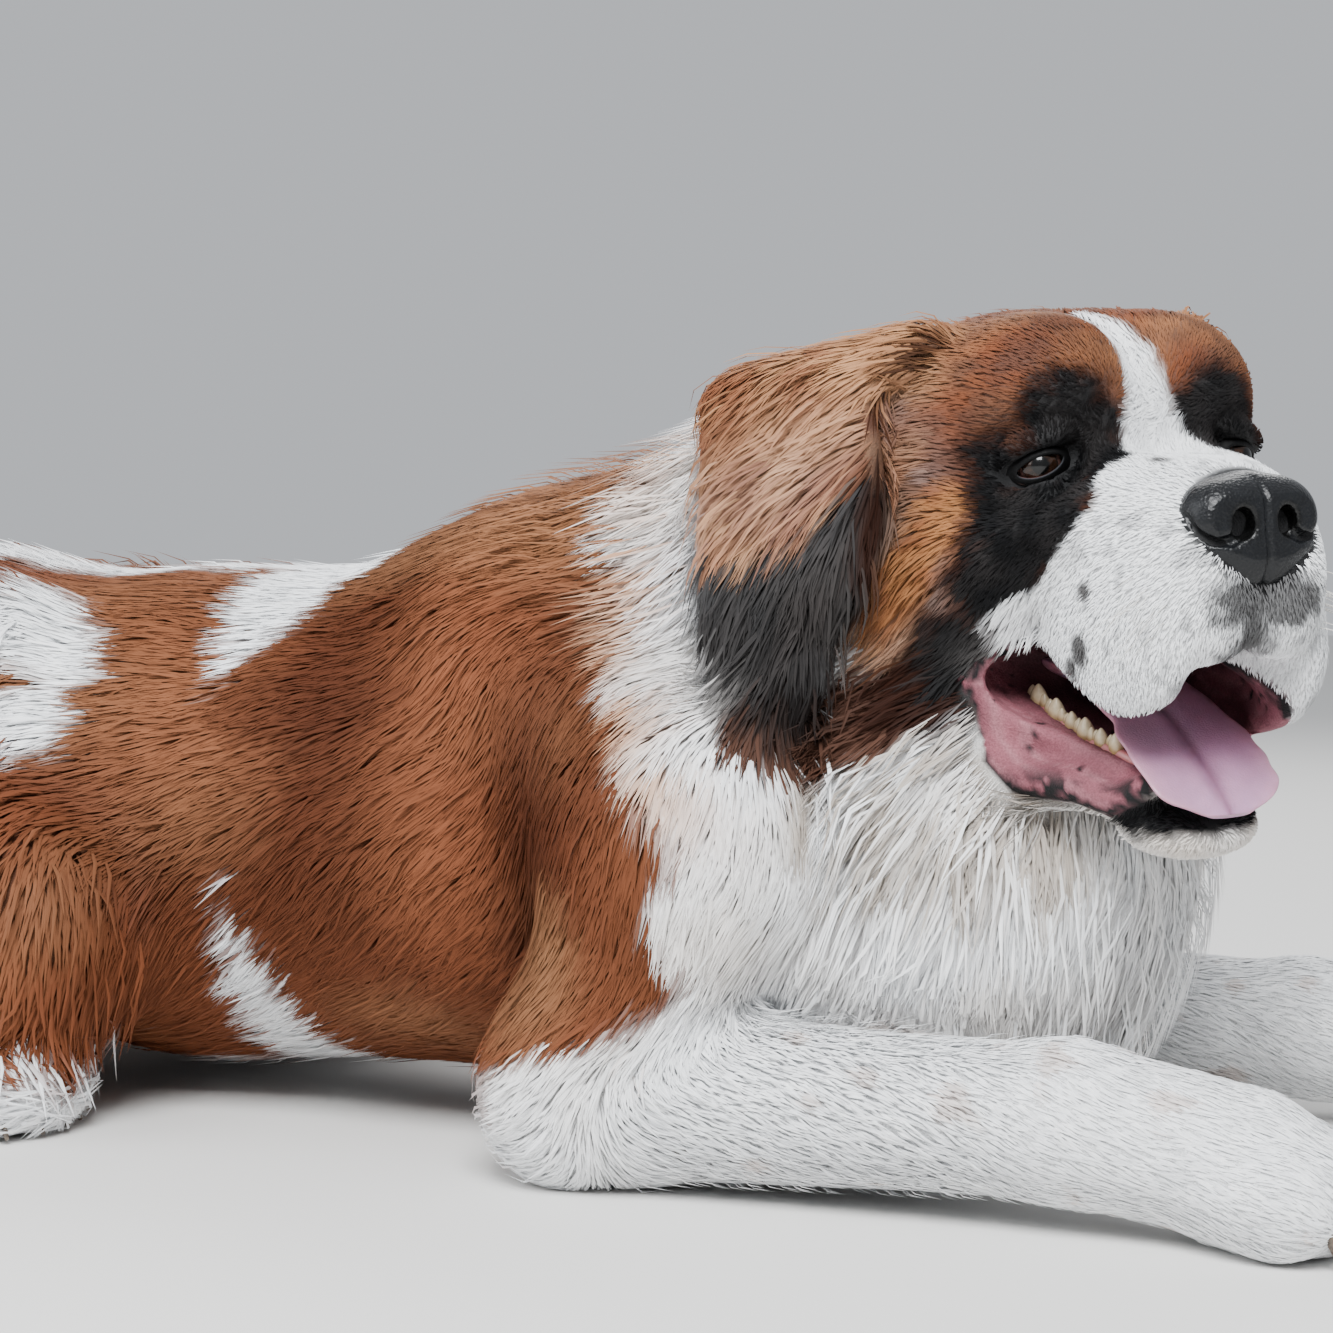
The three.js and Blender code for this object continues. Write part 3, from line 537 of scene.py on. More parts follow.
def eye_sockets(p, d):
    """The hide brought up over each eyeball as a lid, a gap off the ball, and opened in front."""
    q = to_head(p)
    for side in (-1, 1):
        near = (np.abs(q[1] - side * EYE_Y) < 45) & (np.abs(q[0] - EYE_X) < 45)
        near &= np.abs(q[2]) < 40
        if near.any():
            e, almond = round_eye([c[near] for c in q], side)
            ball = np.sqrt((e**2).sum(0)) - EYE_RADIUS - LID_GAP
            hood = egg(tuple(e), (1, 11, 8), (19, 7, 7))
            opened = np.maximum(almond - LID_GAP, 5 - e[2])
            d[near] = carve(1.5, melt(6, melt(6, d[near], ball), hood), opened)
    return d


SIDE_LIMIT = 275.0  # the left hind foot stays this far from the middle
LIP_LINE = (
    # the hanging edge of the lower lip in head points, with the roll's half thickness
    (-52, 70, -106, 6), (-38, 70, -124, 7), (-31, 67, -146, 8), (-16, 62, -160, 8.5),
    (18, 51, -164, 9.5), (35, 42, -172, 8), (57, 31, -162, 6),
)
LIP_WIDTH = 6.5
LIP_EDGE_X = (-54, -37, -31, -17, 19, 35, 57, 70)
LIP_EDGE_Z = (-104, -118, -149, -168, -172, -179, -168, -156)


def lip_reach(q, hole):
    """How far inside the edge of the bare lip head points lie: counted from its width round the
    mouth's hole above, and from the hanging edge of the lip below."""
    x, z = q[0], q[2]
    low = (z < -128 - 0.287 * (x - 34)) & (x > -58) & (x < 66) & (hole < 44)
    above = LIP_WIDTH - hole
    return np.where(low, np.maximum(above, z - np.interp(x, LIP_EDGE_X, LIP_EDGE_Z)), above)


def hanging_lip(p, m, d):
    """The lower lip's thick loose edge, melted on along its line and hollowed by the mouth again."""
    near = (m["lower_jaw"] < 45) & (m["mouth"] < 60)
    q = to_head(tuple(c[near] for c in p))
    roll = rods(q, LIP_LINE, two_rods) + 30 * ramp(10, 30, q[0]) * (q[1] > 0)
    chin = egg(q, (40, -4, -186), (30, 34, 15), -10)
    d[near] = carve(5, melt(13, d[near], roll, chin), m["mouth"][near])
    return d


LIP_FOLD = 0.785  # radians to the millimetre, so a fold every 8 mm


def lip_folds(m):
    """Soft ridges round the inside of the lips, one every 8 mm going in."""
    inside = np.minimum(m["head"], m["lower_jaw"])
    wall = ramp(3.5, 0.5, np.abs(m["mouth"])) * ramp(-2, -7, inside) * ramp(-46, -30, inside)
    return -1.1 * np.sin(inside * LIP_FOLD) * wall


FLOOR_GAP = 1.5


def hide_field(p):
    """Distance to the hide: the outline drawn in by the coat's depth, then the lip, the eye sockets
    and the folds, and flat a little off the floor."""
    m = masses(p)
    d = outline(m)
    d = hanging_lip(p, m, carve(16, d + coat_depth(p, m), SIDE_LIMIT - p[1]))
    d = eye_sockets(p, d + face_folds(p, m) + lip_folds(m))
    return np.maximum(d, FLOOR_GAP - p[2])


def in_parts(field, p, part=40000):
    """A field at rows of points, a part of them at a time to keep the working arrays small."""
    return np.concatenate([field(tuple(p[i : i + part].T)) for i in range(0, len(p), part)])


CORNERS = np.array([(1, -1, -1), (-1, -1, 1), (-1, 1, -1), (1, 1, 1)], float)


def slope(field, p, e=0.8):
    """Value and gradient of a field at rows of points, from the four corners of a tetrahedron."""
    values = np.stack([in_parts(field, p + e * c) for c in CORNERS])
    return values.mean(0), np.einsum("cn,ci->ni", values, CORNERS) / (4 * e)


def net(field, lines, passes=3):
    """Closed mesh of a field's zero surface over a grid of three lists of lines: one vertex in each
    cube of the grid that the surface crosses, at the mean of its crossings and then moved down the
    slope onto the surface, and one quad round each crossed grid edge. Blocks of the grid that lie
    farther from the surface than their own size are only signed."""
    block = 8
    lines = [np.append(l, l[-1] + np.arange(1, 1 + -len(l) % block) * (l[-1] - l[-2])) for l in lines]
    n = [len(l) for l in lines]
    middle = [l.reshape(-1, block).mean(1) for l in lines]
    half = [(l.reshape(-1, block)[:, -1] - l.reshape(-1, block)[:, 0]) / 2 for l in lines]
    centre = np.stack(np.meshgrid(*middle, indexing="ij"), -1).reshape(-1, 3)
    reach = np.sqrt(sum(h * h for h in np.meshgrid(*half, indexing="ij"))).reshape(-1)
    d = in_parts(field, centre)
    near = np.abs(d) < reach * 1.35 + 14
    coarse = np.where(d < 0, -99.0, 99.0).reshape([k // block for k in n]).astype(np.float32)
    values = coarse.repeat(block, 0).repeat(block, 1).repeat(block, 2)
    step = np.stack(np.meshgrid(*[np.arange(block)] * 3, indexing="ij"), -1).reshape(-1, 3)
    base = np.stack(np.unravel_index(np.flatnonzero(near), coarse.shape), -1) * block
    cells = (base[:, None] + step[None]).reshape(-1, 3)
    points = np.stack([lines[a][cells[:, a]] for a in range(3)], -1)
    values[tuple(cells.T)] = in_parts(field, points)

    inside = values < 0
    count = np.zeros([k - 1 for k in n], np.uint8)
    offsets = np.array([(c & 1, (c >> 1) & 1, (c >> 2) & 1) for c in range(8)])
    for a, b, c in offsets:
        count += inside[a : a + n[0] - 1, b : b + n[1] - 1, c : c + n[2] - 1]
    cubes = np.stack(np.nonzero((count > 0) & (count < 8)), -1)
    number = np.full([k - 1 for k in n], -1, np.int64)
    number[tuple(cubes.T)] = np.arange(len(cubes))
    corner_values = np.stack([values[tuple((cubes + o).T)] for o in offsets])
    corner_places = [np.stack([lines[a][cubes[:, a] + o[a]] for a in range(3)], -1) for o in offsets]
    total, hits = np.zeros((len(cubes), 3)), np.zeros(len(cubes))
    for a in range(8):
        for axis in range(3):
            if offsets[a][axis]:
                continue
            b = a | (1 << axis)
            va, vb = corner_values[a], corner_values[b]
            crossed = (va < 0) != (vb < 0)
            t = np.where(crossed, va / np.where(crossed, va - vb, 1), 0)[:, None]
            crossing = corner_places[a] + t * (corner_places[b] - corner_places[a])
            total += np.where(crossed[:, None], crossing, 0)
            hits += crossed
    vertices = total / hits[:, None]

    quads = []
    for axis in range(3):
        u, v = [(1, 2), (2, 0), (0, 1)][axis]
        first, second = [slice(None)] * 3, [slice(None)] * 3
        first[axis], second[axis] = slice(0, -1), slice(1, None)
        a, b = inside[tuple(first)], inside[tuple(second)]
        edge = np.stack(np.nonzero(a != b), -1)
        for w in (u, v):
            edge = edge[(edge[:, w] > 0) & (edge[:, w] < n[w] - 1)]
        ring = []
        for du, dv in ((1, 1), (0, 1), (0, 0), (1, 0)):
            at = edge.copy()
            at[:, u] -= du
            at[:, v] -= dv
            ring.append(number[tuple(at.T)])
        ring = np.stack(ring, -1)
        out = a[tuple(edge.T)]
        quads.append(np.where(out[:, None], ring, ring[:, ::-1]))
    quads = np.concatenate(quads)
    for _ in range(passes):
        value, gradient = slope(field, vertices)
        length2 = np.maximum((gradient**2).sum(1), 0.25)
        vertices = vertices - gradient * (np.clip(value, -2.5, 2.5) / length2)[:, None]
    return vertices, quads


def even(low, high, step):
    """Grid lines from low to high at about that step."""
    return np.linspace(low, high, max(2, int(round((high - low) / step)) + 1))


def graded(*stretches):
    """Grid lines through several stretches, each (to, step), from the first's start."""
    start, out = stretches[0], [np.array([float(stretches[0])])]
    for high, step in stretches[1:]:
        out.append(even(start, high, step)[1:])
        start = high
    return np.concatenate(out)


FINE = 3.6
HIDE_LINES = [
    graded(-640, (300, 10), (350, 5), (690, FINE), (770, 6)),
    graded(-360, (-290, 10), (-262, 6), (100, FINE), (150, 6), (330, 10)),
    graded(-8, (150, 9), (168, 5), (500, FINE), (512, 6)),
]
hide_vertices, hide_quads = net(hide_field, HIDE_LINES)
hide_vertices[:, 2] = np.maximum(hide_vertices[:, 2], FLOOR_GAP)
hide_normals = unit(slope(hide_field, hide_vertices, 1.5)[1])


def cloud(p, size, seed):
    """Smooth noise from -1 to 1 at rows of points: hashed values on a cubic lattice of that size,
    blended between its corners."""
    q = np.asarray(p, float) / size
    low = np.floor(q).astype(np.int64)
    f = q - low
    f = f * f * (3 - 2 * f)
    total = np.zeros(len(q))
    for corner in range(8):
        o = np.array((corner & 1, (corner >> 1) & 1, corner >> 2))
        i = low + o
        h = (i[:, 0] * 73856093) ^ (i[:, 1] * 19349663) ^ (i[:, 2] * 83492791) ^ (seed * 2654435761)
        h = ((h & 0xFFFFFFFF) * 2246822519) & 0xFFFFFFFF
        h = ((h ^ (h >> 15)) * 3266489917) & 0xFFFFFFFF
        h ^= h >> 13
        total += np.where(o, f, 1 - f).prod(1) * ((h & 0xFFFFFF) / 8388608.0 - 1)
    return total


RED = np.array((0.170, 0.054, 0.024))
DARK_RED = np.array((0.056, 0.016, 0.007))
GOLD = np.array((0.385, 0.190, 0.090))
RUST = np.array((0.075, 0.034, 0.022))
WHITE = np.array((0.83, 0.84, 0.85))
CREAM = np.array((0.68, 0.60, 0.52))
BLACK = np.array((0.0045, 0.0045, 0.005))
SLATE = np.array((0.030, 0.026, 0.025))
GREY = np.array((0.30, 0.30, 0.31))
LINING = np.array((0.29, 0.095, 0.12))


def curve(z, knots):
    """Value of a border at each height, run straight between (height, value) knots."""
    knots = np.array(sorted(knots), float)
    return np.interp(z, knots[:, 0], knots[:, 1])


def over(base, paint, amount):
    """A colour laid over another by an amount from 0 to 1 at each place."""
    base = np.asarray(base)
    return base + (paint - base) * amount[:, None]


def patch(rows, centre, radii):
    """Distance to an upright ellipsoid patch, in millimetres."""
    return egg(tuple(rows.T), centre, radii)


def drift(rows, size, seed, middle, swing, top):
    """An amount that wanders from place to place: middle + swing cloud, from 0 to a top."""
    return np.clip(middle + swing * cloud(rows, size, seed), 0, top)


COLLAR_RIGHT = (
    (0, 236), (60, 240), (68, 258), (87, 326), (102, 345), (118, 350), (145, 330), (160, 331), (170, 345),
    (197, 334), (226, 306), (260, 276), (291, 256), (334, 246), (368, 232), (390, 236), (430, 250),
)
COLLAR_LEFT = (
    (0, 225), (60, 240), (90, 300), (120, 332), (170, 318), (210, 296), (260, 262), (300, 236), (350, 226),
    (390, 234), (430, 250),
)


def body_colour(rows):
    """The body's red coat with its white collar, chest, belly, feet and streaks, by place, with a
    painted highlight down the shoulder and painted shade in the fold behind the upper arm and on
    the throat under the head.
    """
    x, y, z = rows.T
    rough = 9 * cloud(rows, 26, 1) + 6 * cloud(rows, 9, 2) + 3 * cloud(rows, 4, 3)
    tone = cloud(rows * (1, 1, 0.6), 90, 4)
    colour = over(RED, DARK_RED, np.clip(0.26 + 0.8 * tone, 0, 0.8))
    colour = over(colour, GOLD, drift(rows * (0.5, 1, 1), 60, 5, 0.08, 0.3, 0.4))
    # Painted highlight: a lighter gold band down the lit bulge of the shoulder.
    shoulder = bell(x - 150, 42) * ramp(90, 170, z)
    colour = over(colour, GOLD, 0.06 * shoulder)
    upper_arm = patch(rows, (262, -170, 104), (44, 60, 62))
    colour = over(colour, GOLD, 0.45 * ramp(14, -20, upper_arm))
    crest = ramp(70, 200, x) * ramp(300, 360, z)
    colour = over(colour, GOLD, 0.3 * crest)
    # Painted shadow: a dark band down the fold behind the upper arm.
    behind = bell(x - 232, 34) * ramp(320, 220, z) * ramp(60, 120, z)
    colour = over(colour, DARK_RED, 0.8 * behind)
    saddle = patch(rows, (70, -120, 250), (70, 70, 26))
    colour = over(colour, DARK_RED, 0.6 * ramp(14, -14, saddle))

    spine = np.abs(y + 6 + 8 * cloud(rows, 70, 6)) - 20 * ramp(100, 20, x)
    spine = np.where((z > 200) & (x < 100), spine, 60)
    wedge = np.maximum(np.abs(x - (6 + 0.15 * (z - 262))) - np.clip((z - 258) * 0.62, 0, 60), 262 - z)
    far_wedge = np.maximum(np.abs(x + 60) - np.clip((z - 285) * 0.5, 0, 40), 285 - z)
    wedge = np.where(y < 20, wedge, far_wedge)
    hip = np.maximum(patch(rows, (-232, -140, 250), (150, 140, 86)), y - 60)
    hip = hip + (22 * cloud(rows, 62, 35) + 8 * cloud(rows, 24, 36)) * ramp(-130, -180, x)
    hip = np.maximum(hip, -patch(rows, (-146, -150, 258), (28, 40, 15)))
    hip = np.where(y < 0, hip, patch(rows, (-330, 90, 250), (70, 80, 62)))
    streak_x = np.where(y < 0, 26, -10)
    flank = np.maximum(
        np.interp(z, (0, 60, 150), (-14, 10, 24)) - x - np.where(y < 0, 0, 40),
        x - streak_x - np.interp(z, (0, 40, 90, 140), (36, 22, 10, -8)),
    )
    flank = np.where((z < 150) & (x > -160) & (x < 190), flank, 60)
    belly = np.where(x > -120, z - np.interp(x, (-120, -60, 120, 250), (8, 20, 18, 34)), 60)
    collar = np.where(y < 0, curve(z, COLLAR_RIGHT), curve(z, COLLAR_LEFT)) - x
    breech = np.maximum(patch(rows, (-440, 0, 110), (70, 62, 110)), x + 380)
    sock = np.maximum(z - 34, 120 - np.abs(y))
    sock = np.where((x < -40) & (x > -400), sock, 60)
    tip = np.where(x < -400, y + 215, 60)
    for field in (wedge, hip, flank, belly, breech, sock, tip):
        colour = over(colour, WHITE, ramp(7, -7, field + rough))
    colour = over(colour, WHITE, 0.95 * ramp(12, -8, spine + 1.4 * rough))
    cream = over(WHITE, CREAM, drift(rows, 45, 7, 0.16, 0.45, 0.5))
    edge = ramp(64, 8, -collar) * ramp(150, 230, z) * drift(rows * (0.6, 1, 1), 26, 8, 0.65, 0.9, 1)
    cream = over(cream, GOLD * 1.15, 0.9 * edge)
    # Painted shade: the cream of the throat is darkened under the head.
    throat = patch(rows, (455, -120, 188), (90, 90, 52)) + 16 * cloud(rows, 30, 23)
    shade = ramp(16, -16, throat) * drift(rows, 12, 33, 0.7, 1.1, 1)
    cream = over(cream, CREAM * 0.62, shade)
    return over(colour, cream, ramp(7, -7, collar + rough))


def leg_white(rows):
    """The forelegs' white, with a few faint tan freckles."""
    return over(WHITE, GOLD, 0.35 * ramp(0.52, 0.72, cloud(rows, 15, 9)))


EYE_MASK = (
    # middle and radii of each egg of the black round the eye and down to the corner of the mouth
    ((20, 46, 12), (34, 32, 36)),
    ((32, 38, 2), (30, 34, 26)),
    ((14, 62, -28), (44, 44, 32)),
    ((-4, 72, 2), (24, 26, 20)),
    ((-8, 80, -66), (32, 36, 38)),
    ((-40, 90, -102), (28, 36, 34)),
)
BLAZE = ((-5, 34), (1, 28), (15, 15.5), (35, 10), (54, 9), (68, 7), (90, 4))  # height, half width
MUZZLE_WHITE = (
    # height, and how far back the white of the muzzle goes there
    (-140, -14), (-100, -20), (-90, -28), (-81, -28), (-70, -12), (-56, 13), (-35, 45), (-19, 54),
    (1, 46), (8, 60), (14, 200),
)
FLEW_SPOTS = (((46, -57, -66), 6), ((40, -62, -96), 7), ((64, -22, 2), 6), ((30, -60, -104), 5))


def mirrored(q):
    """Head points with those of the right side moved to the left, for marks that both sides have."""
    return q[:, 0], np.abs(q[:, 1]), q[:, 2]


def fringe(q):
    """How far the head's marks stray from their smooth borders, in millimetres."""
    return 2.6 * cloud(q, 12, 11) + 1.8 * cloud(q, 5, 12)


def cheek_marks(colour, q):
    """The side of the face over any ground: a gold streak behind the eye, a dark patch below it as
    painted shadow under the hanging ear, a rusty jowl, and black round the eye and down to the
    corner of the mouth."""
    at = mirrored(q)
    rough = fringe(q)
    rust = egg(at, (-78, 150, -126), (36, 64, 28)) + 5 * cloud(q, 14, 22)
    colour = over(colour, RUST, ramp(6, -6, rust + rough))
    # Painted shadow: the cheek below the streak is darkened where the ear hangs over it.
    low = egg(at, (-60, 112, -116), (24, 34, 26))
    colour = over(colour, DARK_RED * 0.4, ramp(6, -6, low + rough))
    streak = rods(at, ((-30, 98, -18, 15), (-52, 110, -50, 15), (-72, 124, -88, 14)))
    gold = over(GOLD * (0.8, 0.68, 0.55), RED, drift(q, 9, 28, 0.25, 0.6, 0.8))
    colour = over(colour, gold, ramp(6, -6, streak + rough))
    mask = melt(10, *[both(1, egg, q.T, *spot) for spot in EYE_MASK])
    black = over(BLACK, SLATE, drift(q, 14, 14, 0.05, 0.6, 1))
    black = over(black, DARK_RED, 0.35 * ramp(-12, -2, mask + 3 * rough))
    return over(colour, black, ramp(8, -6, mask + 1.8 * rough))


def head_colour(q):
    """The head by place in its own axes: red crown, cheek marks, white blaze and muzzle, and dark
    spots on the flews and under the nose."""
    x, y, z = q.T
    rough = fringe(q)
    colour = over(RED, GOLD, drift(q, 28, 13, 0.12, 0.35, 0.5))
    colour = over(colour, SLATE, drift(q, 9, 27, 0.30, 0.4, 0.5))
    temple = ramp(-34, -62, x) * ramp(60, 84, np.abs(y)) * ramp(96, 40, z)
    colour = cheek_marks(over(colour, DARK_RED, 0.65 * temple), q)
    blaze = np.abs(y - 2.5) - curve(z, BLAZE) + 60 * ramp(-46, -92, x)
    muzzle = np.minimum(blaze, curve(z, MUZZLE_WHITE) - x)
    colour = over(colour, WHITE, ramp(3.5, -3.5, muzzle + rough))
    spots = ramp(0.36, 0.52, cloud(q, 8, 15)) * ramp(25, 50, x) * 0.5
    colour = over(colour, GREY, spots * ramp(0, -8, muzzle))
    for centre, radius in FLEW_SPOTS:
        spot = patch(q, centre, (radius,) * 3)
        colour = over(colour, SLATE, 0.92 * ramp(3, -2, spot + rough * 0.8))
    below, lip = patch(q, (112, 0, -76), (28, 32, 17)), patch(q, (108, -4, -98), (28, 15, 30))
    return over(colour, SLATE * 0.6, 0.88 * ramp(7, -7, np.minimum(below, lip) + 2.6 * rough))


def jaw_colour(q):
    """The chin and lower jaw: a soft white, creamy in places."""
    return over(WHITE, CREAM, drift(q, 20, 16, 0.5, 0.4, 0.8))


def ear_colour(q):
    """An ear: gold and red above, slate and black below a ragged border."""
    x, z = q[:, 0], q[:, 2]
    border = np.interp(x, (-174, -148, -113, -84, -72, -61, -48), (-11, -26, -36, -33, -21, -9, 1))
    border = border + 7 * cloud(q, 16, 18) + 5 * cloud(q, 6, 19)
    tan = over(GOLD, RED, drift(q, 15, 20, 0.45, 0.7, 0.9))
    dark = over(SLATE * 0.8, BLACK, drift(q, 15, 21, 0.35, 0.6, 0.8))
    return over(tan, dark, ramp(7, -7, z - border))


# the line of the painted shadow in the fold at the front of each ear, with its width
EAR_FOLD_SHADOW = ((-46, 88, 72, 9), (-49, 114, 40, 9), (-50, 122, 0, 9), (-56, 130, -44, 9))


def marks(rows):
    """The coat's colour at rows of points: each part's own, mixed by how much of each there is,
    then the painted shadow in the fold at the front of the ear and the black under the chin. Also
    gives back the masses and the head points that it worked out."""
    p = tuple(rows.T)
    m = masses(p)
    w = shares(m, 7.0)
    q = to_head(p).T
    body = body_colour(rows)
    arm = np.interp(rows[:, 0], (233, 295, 327, 348, 362), (58, 79, 97, 111, 220))
    arm = rows[:, 2] - arm + 7 * cloud(rows, 18, 34)
    legs = over(leg_white(rows), body, ramp(-6, 6, arm))
    foreleg = (w["foreleg_right"] + w["foreleg_left"])[:, None]
    foreleg = np.where((rows[:, 0] > 215)[:, None], foreleg, 0)
    head = w["head"][:, None]
    jaw = w["lower_jaw"][:, None]
    ears = (w["ear_right"] + w["ear_left"])[:, None]
    cheek = egg(mirrored(q), (-78, 92, -40), (40, 46, 84)) + 8 * cloud(q, 14, 29)
    body = cheek_marks(over(body, GOLD * 0.8, 0.9 * ramp(8, -10, cheek)), q)
    colour = body * (1 - foreleg - head - jaw - ears) + legs * foreleg
    colour = colour + head_colour(q) * head + jaw_colour(q) * jaw + ear_colour(q) * ears
    chin = patch(q, (50, -10, -179), (36, 42, 13)) + 4 * cloud(q, 8, 17)
    # Painted shadow: a dark line down the fold at the front of each ear.
    fold = rods(mirrored(q), EAR_FOLD_SHADOW) + 4 * cloud(q, 11, 30)
    colour = over(colour, DARK_RED * 0.35, 0.92 * ramp(6, -5, fold))
    return over(colour, BLACK, ramp(4, -4, chin)), m, q


def hide_colour(rows):
    """The hide's colour: the coat's, a little darker under it as painted shade between the tufts,
    with the bare lips and the lining of the mouth where the hide turns in, lighter on the crests of
    the lip's ridges as a painted highlight and darkened towards the throat as painted shade."""
    colour, m, q = marks(rows)
    # Painted shade: the hide is drawn a little darker than the coat, for the shade between the tufts.
    colour = colour * 0.92
    hole = m["mouth"]
    colour = over(colour, BLACK, ramp(3, -2, egg(tuple(q.T), (98, 0, -44), (30, 38, 34))))
    for side in (-1, 1):
        e, almond = round_eye(tuple(q.T), side)
        colour = over(colour, BLACK, ramp(7, 3, almond) * (e[2] > 0) * (np.sqrt((e**2).sum(0)) < 24))
    deep = -np.minimum(m["head"], m["lower_jaw"])
    blotch = cloud(q, 9, 24) + 0.5 * cloud(q, 4, 25)
    pink = over(LINING, LINING * 0.6, drift(q, 18, 26, 0.3, 0.6, 1))
    # Painted highlight: the crests of the ridges inside the lips are drawn a lighter pink.
    crest = np.clip(0.5 * np.sin(deep * LIP_FOLD), 0, 1) * ramp(30, 16, deep)
    pink = over(pink, (0.38, 0.17, 0.195), crest)
    reach = lip_reach(q.T, hole)
    lip = ramp(-1.5, 1, reach)
    colour = over(colour, pink, lip)
    front = ramp(-30, 5, q[:, 0]) * (q[:, 2] < -130)
    rim = ramp(5.5 + 4 * blotch, 2.5, reach) * lip
    spot = lip * ramp(0.0, 0.22, blotch) * ramp(22, 8, reach) * ramp(18, 4, deep) * (0.15 + 0.85 * front)
    colour = over(colour, BLACK * 1.3, np.clip(rim + spot, 0, 1))
    # Painted shade: the lining darkens towards the back of the mouth, deep in its hollow.
    throat = ramp(0, -60, q[:, 0]) * ramp(4.2, 2.4, hole)
    return over(colour, LINING * 0.12, 0.85 * throat * ramp(60, 30, np.abs(q[:, 1])))


def mesh_piece(name, vertices, faces):
    """A smooth-shaded mesh object from rows of metres and rows of corner numbers, all faces with
    the same number of sides."""
    mesh = bpy.data.meshes.new(name)
    vertices, faces = np.asarray(vertices, np.float32), np.asarray(faces, np.int32)
    sides = faces.shape[1]
    mesh.vertices.add(len(vertices))
    mesh.vertices.foreach_set("co", vertices.ravel())
    mesh.loops.add(faces.size)
    mesh.loops.foreach_set("vertex_index", faces.ravel())
    mesh.polygons.add(len(faces))
    mesh.polygons.foreach_set("loop_start", np.arange(0, faces.size, sides, dtype=np.int32))
    mesh.polygons.foreach_set("loop_total", np.full(len(faces), sides, np.int32))
    mesh.polygons.foreach_set("use_smooth", np.full(len(faces), True))
    mesh.update(calc_edges=True)
    piece = bpy.data.objects.new(name, mesh)
    bpy.context.collection.objects.link(piece)
    return piece


def paint(piece, name, colours):
    """A colour for each vertex, kept as a mesh attribute."""
    data = np.ones((len(colours), 4), np.float32)
    data[:, : colours.shape[1]] = colours
    piece.data.attributes.new(name, "FLOAT_COLOR", "POINT").data.foreach_set("color", data.ravel())


class Finish:
    """A new material and short ways to add and link its nodes."""

    def __init__(self, name, roughness, **sockets):
        self.material = bpy.data.materials.new(name)
        self.material.use_nodes = True
        self.nodes = self.material.node_tree.nodes
        self.links = self.material.node_tree.links
        self.shader = self.nodes["Principled BSDF"]
        self.shader.inputs["Roughness"].default_value = roughness
        for socket, value in sockets.items():
            self.shader.inputs[socket.replace("_", " ")].default_value = value

    def add(self, kind, inputs=None, **settings):
        """A node, its inputs set to values or linked to sockets."""
        node = self.nodes.new("ShaderNode" + kind)
        for key, value in settings.items():
            setattr(node, key, value)
        for key, value in (inputs or {}).items():
            if isinstance(value, bpy.types.NodeSocket):
                self.links.new(value, node.inputs[key])
            else:
                node.inputs[key].default_value = value
        return node

    def ramp(self, factor, *stops):
        """Greys or colours between stops of (place, value)."""
        node = self.add("ValToRGB", {0: factor})
        elements = node.color_ramp.elements
        for i, (at, value) in enumerate(stops):
            element = elements[i] if i < 2 else elements.new(at)
            element.position = at
            element.color = (*value, 1) if isinstance(value, tuple) else (value, value, value, 1)
        return node.outputs[0]

    def mix(self, kind, factor, a, b):
        """Two colours blended."""
        node = self.add("Mix", data_type="RGBA", blend_type=kind)
        for socket, value in ((0, factor), (6, a), (7, b)):
            if isinstance(value, bpy.types.NodeSocket):
                self.links.new(value, node.inputs[socket])
            else:
                node.inputs[socket].default_value = value
        return node.outputs[2]

    def place(self):
        """Texture places in the piece's own metres."""
        return self.add("TexCoord").outputs["Object"]

    def shaded(self, attribute, amount, stops, place, scale, detail=2.0):
        """The painted colour, darkened by an amount by fine noise; gives the noise for the bump."""
        painted = self.add("Attribute", attribute_name=attribute).outputs["Color"]
        noise = self.add("TexNoise", {"Vector": place, "Scale": scale, "Detail": detail}).outputs[0]
        self.colour(self.mix("MULTIPLY", amount, painted, self.ramp(noise, *stops)))
        return noise

    def bump(self, height, strength, distance):
        """Relief from a height, so many metres deep."""
        node = self.add("Bump", {"Height": height, "Strength": strength, "Distance": distance})
        self.links.new(node.outputs[0], self.shader.inputs["Normal"])

    def colour(self, socket):
        """The finish's base colour."""
        self.links.new(socket, self.shader.inputs["Base Color"])


hide = mesh_piece("hide", placed(hide_vertices), hide_quads)
paint(hide, "Marks", hide_colour(hide_vertices))
hide_finish = Finish("short_undercoat", 0.7, Specular_IOR_Level=0.25)
nap = hide_finish.shaded("Marks", 0.7, ((0.3, 0.45), (0.7, 1.0)), hide_finish.place(), 900.0, 3.0)
hide_finish.bump(nap, 0.5, 0.0012)
hide.data.materials.append(hide_finish.material)
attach(hide, "root")
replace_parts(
    hide, "head", "lower_jaw", "ear_right", "ear_left", "neck", "torso", "shoulder_right", "shoulder_left",
    "foreleg_right", "foreleg_left", "hindleg_right", "hindleg_left", "tail_root", "tail_tip",
)


# The eyes. Each is a wet dark-brown ball with a black pupil, a streaked iris and a reddish white,
# bulging at the cornea, and sits behind an almond opening between black-rimmed lids. The lower lid
# droops and shows a little red haw at the inner corner.
def grid_faces(rows, columns, wrap=True):
    """Quads over a grid of rows and columns of vertices, the columns joined round."""
    r, c = np.meshgrid(np.arange(rows - 1), np.arange(columns if wrap else columns - 1), indexing="ij")
    after = (c + 1) % columns
    quads = (r * columns + c, r * columns + after, (r + 1) * columns + after, (r + 1) * columns + c)
    return np.stack(quads, -1).reshape(-1, 4)


